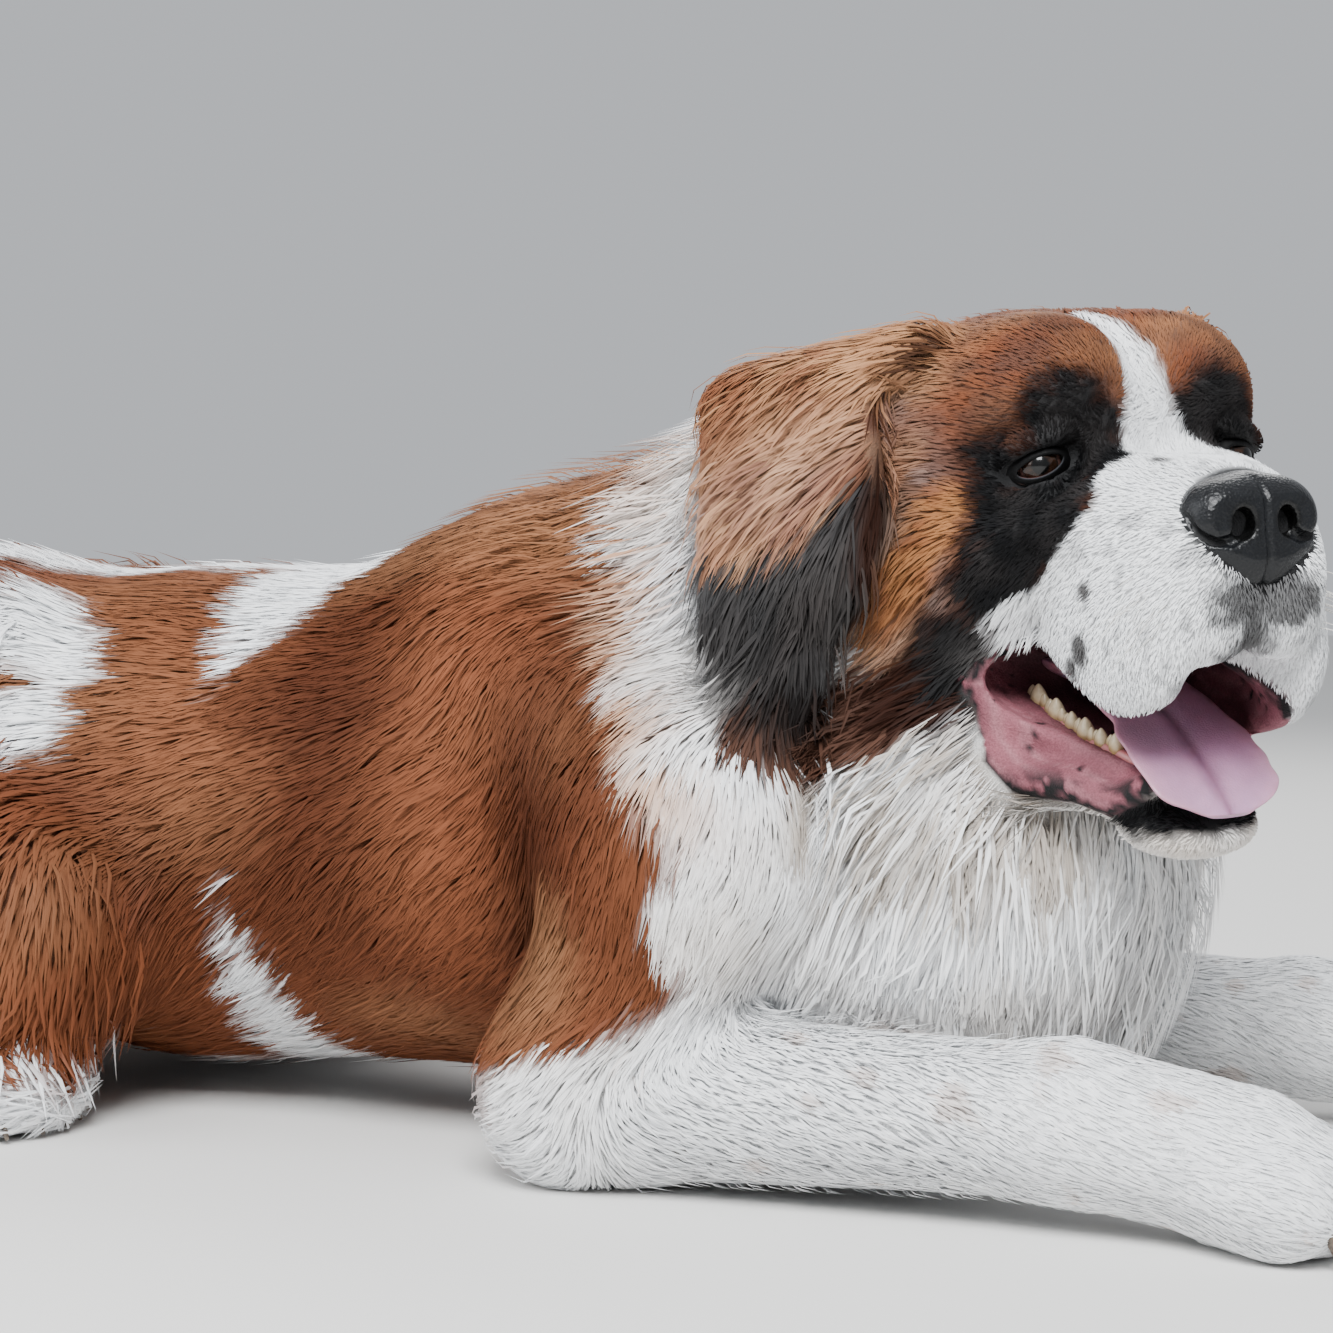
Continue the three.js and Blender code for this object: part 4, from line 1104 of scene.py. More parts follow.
def outwards(piece, *caps):
    """Closes a piece with one face over each run of its vertices and turns every face outwards."""
    bm = bmesh.new()
    bm.from_mesh(piece.data)
    bm.verts.ensure_lookup_table()
    for cap in caps:
        bm.faces.new([bm.verts[i] for i in cap])
    bmesh.ops.recalc_face_normals(bm, faces=bm.faces)
    bm.to_mesh(piece.data)
    bm.free()


def circle(turns):
    """Angles evenly round a ring."""
    return np.arange(turns) / turns * 2 * np.pi


def from_eye(rows, side):
    """Rows in the axes of one eye, as places in the frame."""
    return placed(from_head(rows.reshape(-1, 3) @ gaze_axes(side).T + (EYE_X, side * EYE_Y, 0)))


def eyeball(name, side):
    """Rings round the gaze axis from the cornea to the back, at t radians from it; the radius R has
    a cornea bulge of 1.5 (1 - (t / 0.62) squared) inside 0.62 radians."""
    turns, rings = 48, 34
    t = np.linspace(0.012, np.pi - 0.012, rings)
    around = circle(turns)
    radius = EYE_RADIUS - 0.15 + 1.5 * np.clip(1 - (t / 0.62) ** 2, 0, 1)
    wide = radius[:, None] * np.sin(t)[:, None]
    high = np.tile((radius * np.cos(t))[:, None], (1, turns))
    ball = np.stack([wide * np.cos(around), wide * np.sin(around), high], -1)
    piece = mesh_piece(name, from_eye(ball, side), grid_faces(rings, turns)[:, ::-1])
    outwards(piece, range(turns), range((rings - 1) * turns, rings * turns))
    away = np.repeat(t / np.pi, turns)
    streak = cloud(np.stack([np.cos(around) * 9, np.sin(around) * 9, 0 * around], 1), 1.3, 61)
    fleck = np.clip(0.45 + 0.55 * np.tile(streak, rings), 0, 1)
    iris = over((0.006, 0.003, 0.0015), (0.030, 0.012, 0.006), fleck)
    colour = over((0.06, 0.03, 0.025), (0.008, 0.006, 0.005), ramp(0.275, 0.245, away))
    colour = over(colour, iris, ramp(0.235, 0.218, away))
    colour = over(colour, (0.001, 0.001, 0.001), ramp(0.118, 0.104, away))
    paint(piece, "Iris", colour)
    piece.data.materials.append(eye_finish.material)
    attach(piece, "root")
    return piece


eye_finish = Finish("wet_eye", 0.25, Coat_Weight=0.55, Coat_Roughness=0.03, Specular_IOR_Level=0.1)
eye_finish.shaded("Iris", 0.4, ((0.3, 0.5), (0.7, 1.0)), eye_finish.place(), 2500.0)
for name, side in (("eye_right", -1), ("eye_left", 1)):
    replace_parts(eyeball("eyeball" + name[3:], side), name)

LID_BAND = (
    # how far out from the edge of the opening, height over the ball
    (-0.2, -2.2), (-0.4, -0.8), (-0.3, 0.0), (0.1, 0.25), (0.6, 0.4), (1.3, 0.3), (2.3, -0.1),
    (4.0, -1.2), (5.4, -2.8), (5.0, -5.4),
)


def eyelid(name, side):
    """A rounded band laid over the ball: its inner edge is an almond, the opening's half width times
    cos a across and 4.2 |sin a| to the power 1.2 up, or 5.6 down, and it widens outwards over the
    socket until it goes under the hide."""
    turns = 72
    a = circle(turns)
    rise = np.sign(np.sin(a)) * np.abs(np.sin(a)) ** 1.2 * np.where(np.sin(a) > 0, 4.2, 5.6)
    edge = np.stack([OPENING[0] * np.cos(a), rise], 1)
    away = unit(edge * (0.65, 1.3))
    rows = []
    for out, height in LID_BAND:
        flat = edge + away * out
        lift = height + 0.7 * ramp(-1, 5, flat[:, 1]) * ramp(-0.4, 2.0, out)
        bend = np.clip(np.linalg.norm(flat, axis=1) / (EYE_RADIUS + 4), 0, 0.985)
        rows.append(np.append(flat, ((EYE_RADIUS + 0.7 + lift) * np.sqrt(1 - bend**2))[:, None], 1))
    ring = len(LID_BAND)
    faces = grid_faces(ring + 1, turns) % (ring * turns)
    piece = mesh_piece(name, from_eye(np.stack(rows), side), faces)
    outwards(piece)
    t = np.repeat(np.linspace(0, 1, ring), turns)
    haw = np.tile(ramp(0, -3, edge[:, 1]) * ramp(8, -4, edge[:, 0]), ring)
    rim = over(BLACK * 0.4, (0.22, 0.07, 0.05), 0.8 * haw * ramp(0.26, 0.12, t))
    # Painted reflection: a pale blue-grey line along the wet rim of the lower lid.
    wet_glint = np.tile(ramp(0, -3, edge[:, 1]), ring) * bell(t - 0.3, 0.08)
    paint(piece, "Rim", over(rim, (0.10, 0.11, 0.13), 0.35 * wet_glint))
    piece.data.materials.append(lid_finish.material)
    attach(piece, "root")


lid_finish = Finish("bare_lid_skin", 0.55, Specular_IOR_Level=0.12)
lid_grain = lid_finish.shaded("Rim", 0.6, ((0.3, 0.5), (0.7, 1.0)), lid_finish.place(), 1400.0, 3.0)
lid_finish.bump(lid_grain, 0.5, 0.0006)
for name, side in (("eyelids_right", -1), ("eyelids_left", 1)):
    eyelid(name, side)


# The nose leather: a broad wet black pad on the end of the muzzle, with comma-shaped nostrils under
# rolled wings and a groove down its middle that runs on to the lip. Its surface is pebbled.
NOSTRIL = (119, 12.5, -38)
SLIT = (
    (118, 12, -41, 4.4), (116.5, 19, -46.5, 3.0), (113, 27, -46, 2.4), (109, 33, -41, 2.0),
    (104, 36, -32, 1.6),
)


def nose_field(p):
    """Distance to the pad, in head points: an egg with a flat front, two rounded wings and a broad
    foot. A round nostril is carved deep at each side, with a slit that curves out under the wing and
    up behind it, and a groove runs down the middle."""
    pad = melt(
        6,
        egg(p, (97, 0, -38), (25, 31, 26)),
        both(6, egg, p, (101, 18, -36), (20, 19, 20)),
        egg(p, (100, 0, -52), (20, 37, 13)),
        egg(p, (104, 0, -60), (13, 25, 11)),
    )
    pad = np.maximum(pad, (p[0] - 120) * 0.93 + 0.1 * np.abs(p[1]))
    hole = melt(2, both(1, egg, p, NOSTRIL, (15, 5.8, 7.2)), rods(p, SLIT, two_rods))
    return carve(1.6, pad, hole) + 1.9 * bell(p[1], 1.6) * ramp(100, 112, p[0])


nose_lines = [even(low, high, 1.15) for low, high in ((68, 124), (-42, 42), (-80, -8))]
nose_rows, nose_faces = net(nose_field, nose_lines, 2)
nose = mesh_piece("nose_pad", placed(from_head(nose_rows)), nose_faces)
# Painted shade: the leather is drawn darker inside and round the nostril holes.
outside = ramp(0.3, 2.6, both(1, egg, tuple(nose_rows.T), NOSTRIL, (15, 6.4, 7.8)))
paint(nose, "Leather", over((0.001, 0.001, 0.001), (0.005, 0.0055, 0.0065), outside))
nose_finish = Finish("nose_leather", 0.36, Coat_Weight=0.2, Coat_Roughness=0.22, Specular_IOR_Level=0.2)
nose_place = nose_finish.place()
pebbles = nose_finish.add("TexVoronoi", {"Vector": nose_place, "Scale": 620.0}, feature="F1")
nose_finish.shaded("Leather", 0.7, ((0.3, 0.55), (0.7, 1.25)), nose_place, 160.0, 4.0)
nose_finish.bump(pebbles.outputs[0], 0.55, 0.0007)
nose.data.materials.append(nose_finish.material)
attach(nose, "root")
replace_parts(nose, "nose")


# The mouth. A broad wet tongue lies along the floor of the mouth and lolls out over the lower lip,
# with a groove down its middle and a thin curled edge. The lower cheek teeth stand in a row along
# each side of the jaw in their gums, yellowed at the root; those in front lie under the tongue.
TONGUE_LINE = np.array(
    [
        (-62, 0, -104), (-30, 1, -112), (0, 0, -124), (24, -1, -136),
        (42, -3, -147.5), (58, -4, -159.5), (71, -4, -173), (76, -4, -181),
    ],
    float,
)
TONGUE_HALF = (24, 28, 31, 34, 37, 38, 31, 12)
TONGUE_THICK = (11, 12, 11, 9, 7.5, 6.5, 5.5, 3.5)


def smooth_line(points, count):
    """Points evenly along a line by Catmull-Rom: each stretch bends with its neighbours."""
    points = np.asarray(points, float)
    full = np.concatenate([[2 * points[0] - points[1]], points, [2 * points[-1] - points[-2]]])
    t = np.linspace(0, len(points) - 1, count)
    i = np.minimum(t.astype(int), len(points) - 2)
    f = (t - i)[:, None]
    a, b, c, d = (full[i + k] for k in range(4))
    return 0.5 * (2 * b + (c - a) * f + (2 * a - 5 * b + 4 * c - d) * f**2 + (3 * b - a - 3 * c + d) * f**3)


def tongue_piece():
    """A flat section carried along the tongue's line: half width w, thickness h, its top sunk in the
    middle by a groove and its edges raised, with small ripples across towards the tip."""
    steps, turns = 72, 56
    line = smooth_line(TONGUE_LINE, steps)
    size = smooth_line(np.stack([TONGUE_HALF, TONGUE_THICK, TONGUE_HALF], 1), steps)
    ahead = unit(np.gradient(line, axis=0))
    across = np.tile((0.0, 1.0, 0.0), (steps, 1))
    across = unit(across - ahead * (across * ahead).sum(1)[:, None])
    up = np.cross(ahead, across)
    a = circle(turns)
    s, c = np.cos(a), np.sin(a)
    flat = np.sign(c) * np.abs(c) ** 0.8
    t = np.linspace(0, 1, steps)[:, None]
    groove = -3.4 * bell(s, 0.10) * (c > 0) * (0.35 + 0.65 * (1 - t)) * ramp(0, 0.15, 1 - t)
    curl = 3.2 * np.abs(s) ** 3 * (1 - 0.5 * t)
    ripple = 0.5 * np.sin(46 * t + 3 * s) * ramp(0.5, 0.9, t) * np.abs(s) ** 2
    wide = size[:, :1] * s * (1 + 0.02 * np.sin(23 * t + 2) + 0.015 * np.sin(41 * t))
    high = size[:, 1:2] / 2 * flat + groove + curl + ripple
    rows = line[:, None] + across[:, None] * wide[:, :, None] + up[:, None] * high[:, :, None]
    q = rows.reshape(-1, 3)
    piece = mesh_piece("tongue_wet", placed(from_head(q)), grid_faces(steps, turns))
    outwards(piece, range(turns), range((steps - 1) * turns, steps * turns))
    # Painted shade: the groove down the middle of the tongue is drawn darker.
    middle = np.tile(bell(s, 0.12) * (c > 0), (steps, 1)).ravel()
    colour = over((0.36, 0.14, 0.22), (0.44, 0.24, 0.38), np.repeat(t, turns))
    colour = over(colour, (0.17, 0.06, 0.11), 0.7 * middle)
    colour = over(colour, (0.50, 0.24, 0.30), 0.6 * np.tile(np.abs(s) ** 6, (steps, 1)).ravel())
    paint(piece, "Flesh", colour)
    piece.data.materials.append(tongue_finish.material)
    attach(piece, "root")
    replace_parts(piece, "tongue")


tongue_finish = Finish(
    "wet_tongue", 0.36,
    Coat_Weight=0.3, Coat_Roughness=0.2, Subsurface_Weight=0.15, Subsurface_Scale=0.004,
)
tongue_place = tongue_finish.place()
buds = tongue_finish.add("TexVoronoi", {"Vector": tongue_place, "Scale": 900.0})
tongue_finish.shaded("Flesh", 0.6, ((0.3, 0.7), (0.7, 1.1)), tongue_place, 55.0, 4.0)
tongue_finish.bump(buds.outputs[0], 0.35, 0.0005)
tongue_piece()

# height, half length along the jaw and half width, from the root up to the tip
CUSP = ((-4, 4.2, 3.4), (0, 4.8, 4.0), (3.2, 4.3, 3.4), (6.4, 2.4, 2.0), (8.2, 0.8, 0.7))
CUSPS = {
    # kind: (place along the jaw, scale) for each point of the tooth
    "molar": ((-5.2, 0.80), (0.8, 1.12), (6.4, 0.72)),
    "premolar": ((0.6, 0.92), (-3.8, 0.62)),
}
TOOTH_FEET = (
    ("molar", (-47, 35.5, -121)), ("molar", (-29, 36, -128.5)), ("premolar", (-14, 36, -134)),
    ("molar", (-2, 35.5, -138.5)), ("premolar", (12, 35, -142.5)), ("premolar", (23, 33.5, -145)),
)


def tubes(spindles):
    """Vertices and triangles of many closed tubes. Each is rings of vertices, then a point beyond
    its last ring and one behind its first, to which fans of triangles close it."""
    rings, turns = spindles[0][0].shape[:2]
    rows = [np.concatenate([ring.reshape(-1, 3), [tip], [root]]) for ring, tip, root in spindles]
    quads, i, last = grid_faces(rings, turns), np.arange(turns), (rings - 1) * turns
    tip = np.stack([last + i, last + (i + 1) % turns, np.full(turns, last + turns)], 1)
    root = np.stack([(i + 1) % turns, i, np.full(turns, last + turns + 1)], 1)
    one = np.concatenate([quads[:, [0, 1, 2]], quads[:, [0, 2, 3]], tip, root])
    start = np.arange(len(rows)) * (last + turns + 2)
    return np.concatenate(rows), (one + start[:, None, None]).reshape(-1, 3)


def cusp(foot, scale, lean):
    """Rings of rounded squares, |cos a| and |sin a| to the power 0.75, stacked up one point of a
    tooth; lean is its way up. Gives its rings, tip and root, and the height of every vertex."""
    form = smooth_line(np.array(CUSP) * scale, 9)
    a = circle(10)
    ring = np.stack([np.sign(f) * np.abs(f) ** 0.75 for f in (np.cos(a), np.sin(a))], 1)
    lean = unit(np.asarray(lean, float))
    along = unit(np.array((1.0, 0.0, -0.1)) - lean * lean[0])
    across = np.cross(lean, along)
    rows = foot + form[:, 0, None, None] * lean + form[:, 1, None, None] * ring[None, :, :1] * along
    rows = rows + form[:, 2, None, None] * ring[None, :, 1:] * across
    spindle = rows, foot + lean * (form[-1, 0] + 0.4), foot + lean * form[0, 0]
    return spindle, np.append(np.repeat(form[:, 0], len(a)), (form[-1, 0], form[0, 0]))


def tooth_row():
    """The lower teeth behind the tongue's edge, both sides alike, each leaning a little outwards."""
    points = [
        cusp(np.array((x + along, side * y, z - 0.35 * along)), scale, (0.3, side * 0.15, 1))
        for side in (-1, 1)
        for kind, (x, y, z) in TOOTH_FEET
        for along, scale in CUSPS[kind]
    ]
    q, faces = tubes([spindle for spindle, _ in points])
    piece = mesh_piece("lower_teeth", placed(from_head(q)), faces)
    outwards(piece)
    height = np.concatenate([heights for _, heights in points])
    paint(piece, "Enamel", over((0.42, 0.26, 0.11), (0.66, 0.55, 0.36), ramp(-1, 5, height)))
    piece.data.materials.append(tooth_finish.material)
    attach(piece, "root")


tooth_finish = Finish("tooth_enamel", 0.25, Coat_Weight=0.3, Coat_Roughness=0.1)
tooth_stops = (0.3, 0.55), (0.65, 1.0)
tartar = tooth_finish.shaded("Enamel", 0.5, tooth_stops, tooth_finish.place(), 300.0, 4.0)
tooth_finish.bump(tartar, 0.2, 0.0004)
tooth_row()


GUM_LINE = ((-62, 35, -114), *[place for _, place in TOOTH_FEET], (34, 30, -150))


def gum_field(p):
    """Distance to the gums: a rounded ridge along each row of teeth."""
    return rods(p, [(*place, 5.4) for place in GUM_LINE], two_rods) + 2.2


gum_lines = [even(low, high, 2.0) for low, high in ((-70, 42), (-44, 44), (-160, -104))]
gum_rows, gum_faces = net(gum_field, gum_lines, 2)
gums = mesh_piece("gums", placed(from_head(gum_rows - (0, 0, 2.5))), gum_faces)
gum_tone = drift(gum_rows, 12, 62, 0.45, 0.5, 1)
paint(gums, "Flesh", over((0.50, 0.16, 0.16), (0.62, 0.26, 0.25), gum_tone))
gums.data.materials.append(tongue_finish.material)
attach(gums, "root")


# The claws: four blunt, curved, dark horn claws on each foot, each growing from the tip of a toe
# and bent down to the floor. They stay apart from the coat round them.
def claws():
    """A tapered tube along an arc that drops from the toe's tip to just above the floor."""
    feet = []  # where each claw starts, its heading in degrees and its half thickness
    for _, side, reach, swing in FORELEGS:
        at = foreleg_points(side, reach, swing)[1]
        for t in TOES:
            feet.append((at(398 - abs(t) * 0.5 + 19, t * 1.02, 25), swing + t * 0.25, 5.4))
    for side in (-1, 1):
        for t in HIND_TOES:
            x, y = hind_toe(side, t)
            feet.append(((x + 18, y, 22), t * 0.15, 4.8))
    s, a = np.linspace(0, 1, 9)[:, None], circle(10)
    cos, sin = np.cos(a)[None, :, None], np.sin(a)[None, :, None]
    spindles = []
    for start, heading, size in feet:
        yaw = np.radians(heading)
        run = np.array((np.cos(yaw), np.sin(yaw), 0.0))
        line = np.array(start) + run * 13 * s - np.array((0, 0, 1)) * (start[2] - size * 0.62) * s**1.8
        ahead = unit(np.gradient(line, axis=0))
        across = np.cross((0, 0, 1.0), run)
        up = np.cross(ahead, across)
        thick = size * (1 - 0.72 * s**1.6)
        ring = line[:, None] + (across * cos * 0.78 + up[:, None] * sin) * thick[:, :, None]
        ring[:, :, 2] = np.maximum(ring[:, :, 2], 0.6)
        spindles.append((ring, line[-1] + ahead[-1] * 0.6, line[0]))
    rows, faces = tubes(spindles)
    rows[:, 2] = np.maximum(rows[:, 2], 0.5)
    piece = mesh_piece("claws", placed(rows), faces)
    outwards(piece)
    horn = Finish("claw_horn", 0.4, Coat_Weight=0.15, Coat_Roughness=0.3)
    grain = horn.add("TexNoise", {"Vector": horn.place(), "Scale": 420.0, "Detail": 4.0})
    horn.colour(horn.ramp(grain.outputs[0], (0.3, (0.035, 0.026, 0.02)), (0.7, (0.16, 0.12, 0.085))))
    horn.bump(grain.outputs[0], 0.3, 0.0004)
    piece.data.materials.append(horn.material)
    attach(piece, "root")


claws()


# The whiskers: a few stiff pale hairs that stand out from the flews.
def whiskers():
    """Thin closed tapered tubes along a falling arc: start + length t run - sag t squared."""
    rng = np.random.default_rng(7)
    starts = []
    for side in (-1, 1):
        for _ in range(13):
            start = rng.uniform(70, 100), side * rng.uniform(38, 50), rng.uniform(-92, -62)
            starts.append((start, (0.55, side, -0.3), rng.uniform(24, 44)))
    t, a = np.linspace(0, 1, 7)[:, None], circle(3)
    cos, sin = np.cos(a)[None, :, None], np.sin(a)[None, :, None]
    spindles = []
    for start, run, length in starts:
        place = np.array([start], float)
        for _ in range(8):
            value, gradient = slope(hide_field, from_head(place), 1.5)
            rooted = from_head(place) - unit(gradient) * (value + 1.5)[:, None]
            place = to_head(tuple(rooted.T)).T
        run = unit(np.array(run, float) + rng.normal(0, 0.16, 3))
        line = place + run * length * t - np.array((0.1, 0, 1)) * length * 0.22 * t**2
        across = unit(np.cross(run, (0, 0, 1.0)))
        up = np.cross(run, across)
        thick = 0.42 * (1 - 0.85 * t)
        ring = line[:, None] + (across * cos + up * sin) * thick[:, :, None]
        spindles.append((ring, line[-1] + run * 0.5, line[0]))
    rows, faces = tubes(spindles)
    piece = mesh_piece("whiskers", placed(from_head(rows)), faces)
    bristle = Finish("whisker", 0.4, Specular_IOR_Level=0.4)
    shade = bristle.add("TexNoise", {"Vector": bristle.place(), "Scale": 60.0})
    bristle.colour(bristle.ramp(shade.outputs[0], (0.3, (0.55, 0.53, 0.50)), (0.7, (0.82, 0.80, 0.77))))
    piece.data.materials.append(bristle.material)
    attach(piece, "root")


whiskers()


# The coat. Thousands of thin closed tufts grow from the hide and lie along the body the way the
# hair does: short and close on the face and paws, long and loose on the neck, chest, ears, thighs
# and tail. Each part of the dog has its own coat, sown more closely where the hair is finer.
COAT = {
    # part: spacing, length, width, how far tips stray from the lie, how strongly locks gather
    "torso": (3.0, 46, 2.0, 0.15, 0.40),
    "neck": (2.15, 52, 1.9, 0.22, 0.62),
    "shoulder_right": (2.7, 42, 1.9, 0.15, 0.40),
    "shoulder_left": (2.7, 42, 1.9, 0.15, 0.40),
    "foreleg_right": (2.4, 16, 1.35, 0.12, 0.20),
    "foreleg_left": (2.4, 16, 1.35, 0.12, 0.20),
    "hindleg_right": (3.6, 48, 2.3, 0.17, 0.40),
    "hindleg_left": (3.6, 48, 2.3, 0.17, 0.40),
    "tail_root": (3.4, 74, 2.9, 0.26, 0.6),
    "tail_tip": (3.4, 80, 2.9, 0.28, 0.6),
    "head": (2.12, 16, 1.2, 0.12, 0.22),
    "lower_jaw": (2.2, 14, 1.15, 0.16, 0.30),
    "ear_right": (2.6, 38, 1.7, 0.20, 0.50),
    "ear_left": (2.6, 38, 1.7, 0.20, 0.50),
}


SPACING, LENGTH, WIDTH, STRAY, GATHER = range(5)


def blended(column, w):
    """One column of the coat's table, mixed by how much of each part there is."""
    return sum(COAT[name][column] * w[name] for name in PARTS)


def in_body(v):
    """Rows of directions of the head's axes in the dog's."""
    return np.asarray(v, float) @ HEAD_TURN.T


def lie(rows, normals, w, q):
    """The way the hair lies at rows of points: from the nose back over the head and body, down the
    flanks, chest and ears, and along the legs and tail."""
    x, y, z = rows.T
    side = np.clip(np.abs(normals[:, 1]), 0, 1)
    zero, one = np.zeros(len(x)), np.ones(len(x))
    sign = np.tanh(y / 30)
    front = ramp(-0.1, 0.55, normals[:, 0])
    flow = {}
    flow["torso"] = np.stack([-one, 0.28 * sign * (1 - side), -0.12 - 0.75 * side * ramp(330, 120, z)], 1)
    back = np.stack([-0.85 * one, 0.2 * sign, -0.55 * side - 0.1], 1)
    low = np.stack([-0.12 * one, 0.10 * sign, -one], 1)
    bib = np.clip(front + ramp(250, 120, z) * ramp(200, 300, x), 0, 1)[:, None]
    flow["neck"] = back * (1 - bib) + low * bib
    arm = np.stack([-0.35 * one - 0.4 * ramp(200, 80, z), zero, -one * ramp(40, 160, z) - 0.2], 1)
    for name, s in (("right", -1), ("left", 1)):
        flow["shoulder_" + name] = arm
        turned = ramp(250, 330, x) * 1.6 - 0.6
        flow["foreleg_" + name] = np.stack([turned, zero + 0.12 * s, -0.30 * one], 1)
        forward = ramp(80, 45, z) * ramp(-330, -250, x)
        thigh = np.stack([-0.45 * one + 1.6 * forward, zero, -one + 0.8 * forward], 1)
        flow["hindleg_" + name] = thigh
    along = np.zeros((len(x), 3))
    best = np.full(len(x), 1e9)
    for a, b in zip(TAIL_LINE[:-1, :3], TAIL_LINE[1:, :3]):
        d = rod(tuple(rows.T), a, b, 0, 0)
        along[d < best] = unit(b - a)
        best = np.minimum(best, d)
    flow["tail_root"] = flow["tail_tip"] = along + 0.35 * normals * (1, 1, 0.4) - (0, 0, 0.15)
    hx, hy, hz = q.T
    hs = np.sign(hy + 1e-6)
    cheek = ramp(-5, -60, hz)
    flew = ramp(-55, -100, hz) * ramp(-30, 20, hx)
    face = np.stack([-one + 0.75 * flew, 0.32 * hs * (1 - flew), 0.12 - 0.75 * cheek - 0.6 * flew], 1)
    for s in (-1, 1):
        from_eye = q - (14, s * EYE_Y, 0)
        far = np.linalg.norm(from_eye, axis=1)
        face = face + 2.2 * unit(from_eye) * ramp(30, 14, far)[:, None]
    flow["head"] = in_body(face)
    flow["lower_jaw"] = in_body(np.stack([-one, zero, -0.45 * one], 1))
    upper = ramp(-40, 40, hz)
    fall = in_body(np.stack([-0.25 - 0.75 * upper, 0.35 * hs * upper, -one + 0.25 * upper], 1))
    flow["ear_right"] = flow["ear_left"] = fall
    total = sum(unit(flow[name]) * w[name][:, None] for name in PARTS)
    stray = [cloud(rows, 55, 31 + a) + 0.5 * cloud(rows, 22, 34 + a) for a in range(3)]
    total = unit(total) + 1.3 * blended(STRAY, w)[:, None] * np.stack(stray, 1)
    return unit(total - normals * (total * normals).sum(1)[:, None])


def spread_roots(area, number, rng):
    """Numbers of faces, one for each root: faces are taken in order along a space-filling curve and
    one root falls at random in each equal share of the whole weight, so that they lie evenly."""
    edge = np.cumsum(area)
    at = (np.arange(number) + rng.random(number)) / number * edge[-1]
    return np.searchsorted(edge, at).clip(0, len(area) - 1)


def curve_order(centres):
    """An order of places along a Z-order curve, from the interleaved bits of their coordinates."""
    cells = ((centres - centres.min(0)) / 4).astype(np.int64)
    key = np.zeros(len(cells), np.int64)
    for bit in range(10):
        for axis in range(3):
            key |= ((cells[:, axis] >> bit) & 1) << (3 * bit + axis)
    return np.argsort(key, kind="stable")


triangles = np.concatenate([hide_quads[:, [0, 1, 2]], hide_quads[:, [0, 2, 3]]])
corners = hide_vertices[triangles]
edges = corners[:, 1] - corners[:, 0], corners[:, 2] - corners[:, 0]
face_area = np.linalg.norm(np.cross(*edges), axis=1) / 2
face_centre = corners.mean(1)
face_normal = unit(hide_normals[triangles].sum(1))
order = curve_order(face_centre)
triangles, corners, face_area = triangles[order], corners[order], face_area[order]
face_centre, face_normal = face_centre[order], face_normal[order]
face_masses = masses(tuple(face_centre.T))
face_shares = shares(face_masses, 10.0)
face_head = to_head(tuple(face_centre.T)).T
face_part = np.argmax(np.stack([face_shares[name] for name in PARTS]), 0)


def fineness(q, w, m):
    """How much shorter and closer the hair is on the muzzle, round the eyes and by the lips: from 1
    on the skull down to about a half on the face, at head points."""
    head = w["head"] + w["lower_jaw"]
    muzzle = ramp(-25, 30, q[:, 0])
    eyes = np.min([np.linalg.norm(q - (8, y, 0), axis=1) for y in (EYE_Y, -EYE_Y)], 0)
    lips = ramp(24, 8, m["mouth"])
    return 1 - np.clip(0.50 * muzzle + 0.5 * ramp(40, 18, eyes) + 0.35 * lips, 0, 0.6) * head


def bare(rows, q, m):
    """Where no hair grows: on the nose, the eyeballs, the lips and inside the mouth, and under the
    body where it presses on the floor."""
    nose = egg(tuple(q.T), (98, 0, -40), (27, 35, 29)) < 0
    eye = np.zeros(len(rows), bool)
    for side in (-1, 1):
        e, almond = round_eye(tuple(q.T), side)
        eye |= (almond < 2.8) & (e[2] > 0) & (np.abs(e[2]) < 26)
    return nose | eye | (lip_reach(q.T, m["mouth"]) > -0.5) | (rows[:, 2] < 2.6)


def tuft_faces(rings):
    """Faces of one tuft: a three-sided spindle from its root point through its rings to its tip."""
    tip = 3 * rings + 1
    faces = [(0, 1 + (a + 1) % 3, 1 + a) for a in range(3)]
    for r in range(1, 3 * rings - 3, 3):
        for a in range(3):
            b = (a + 1) % 3
            faces += [(r + a, r + b, r + 3 + b), (r + a, r + 3 + b, r + 3 + a)]
    return np.array(faces + [(tip - 3 + a, tip - 3 + (a + 1) % 3, tip) for a in range(3)])


ROOT_DEPTH = 1.2


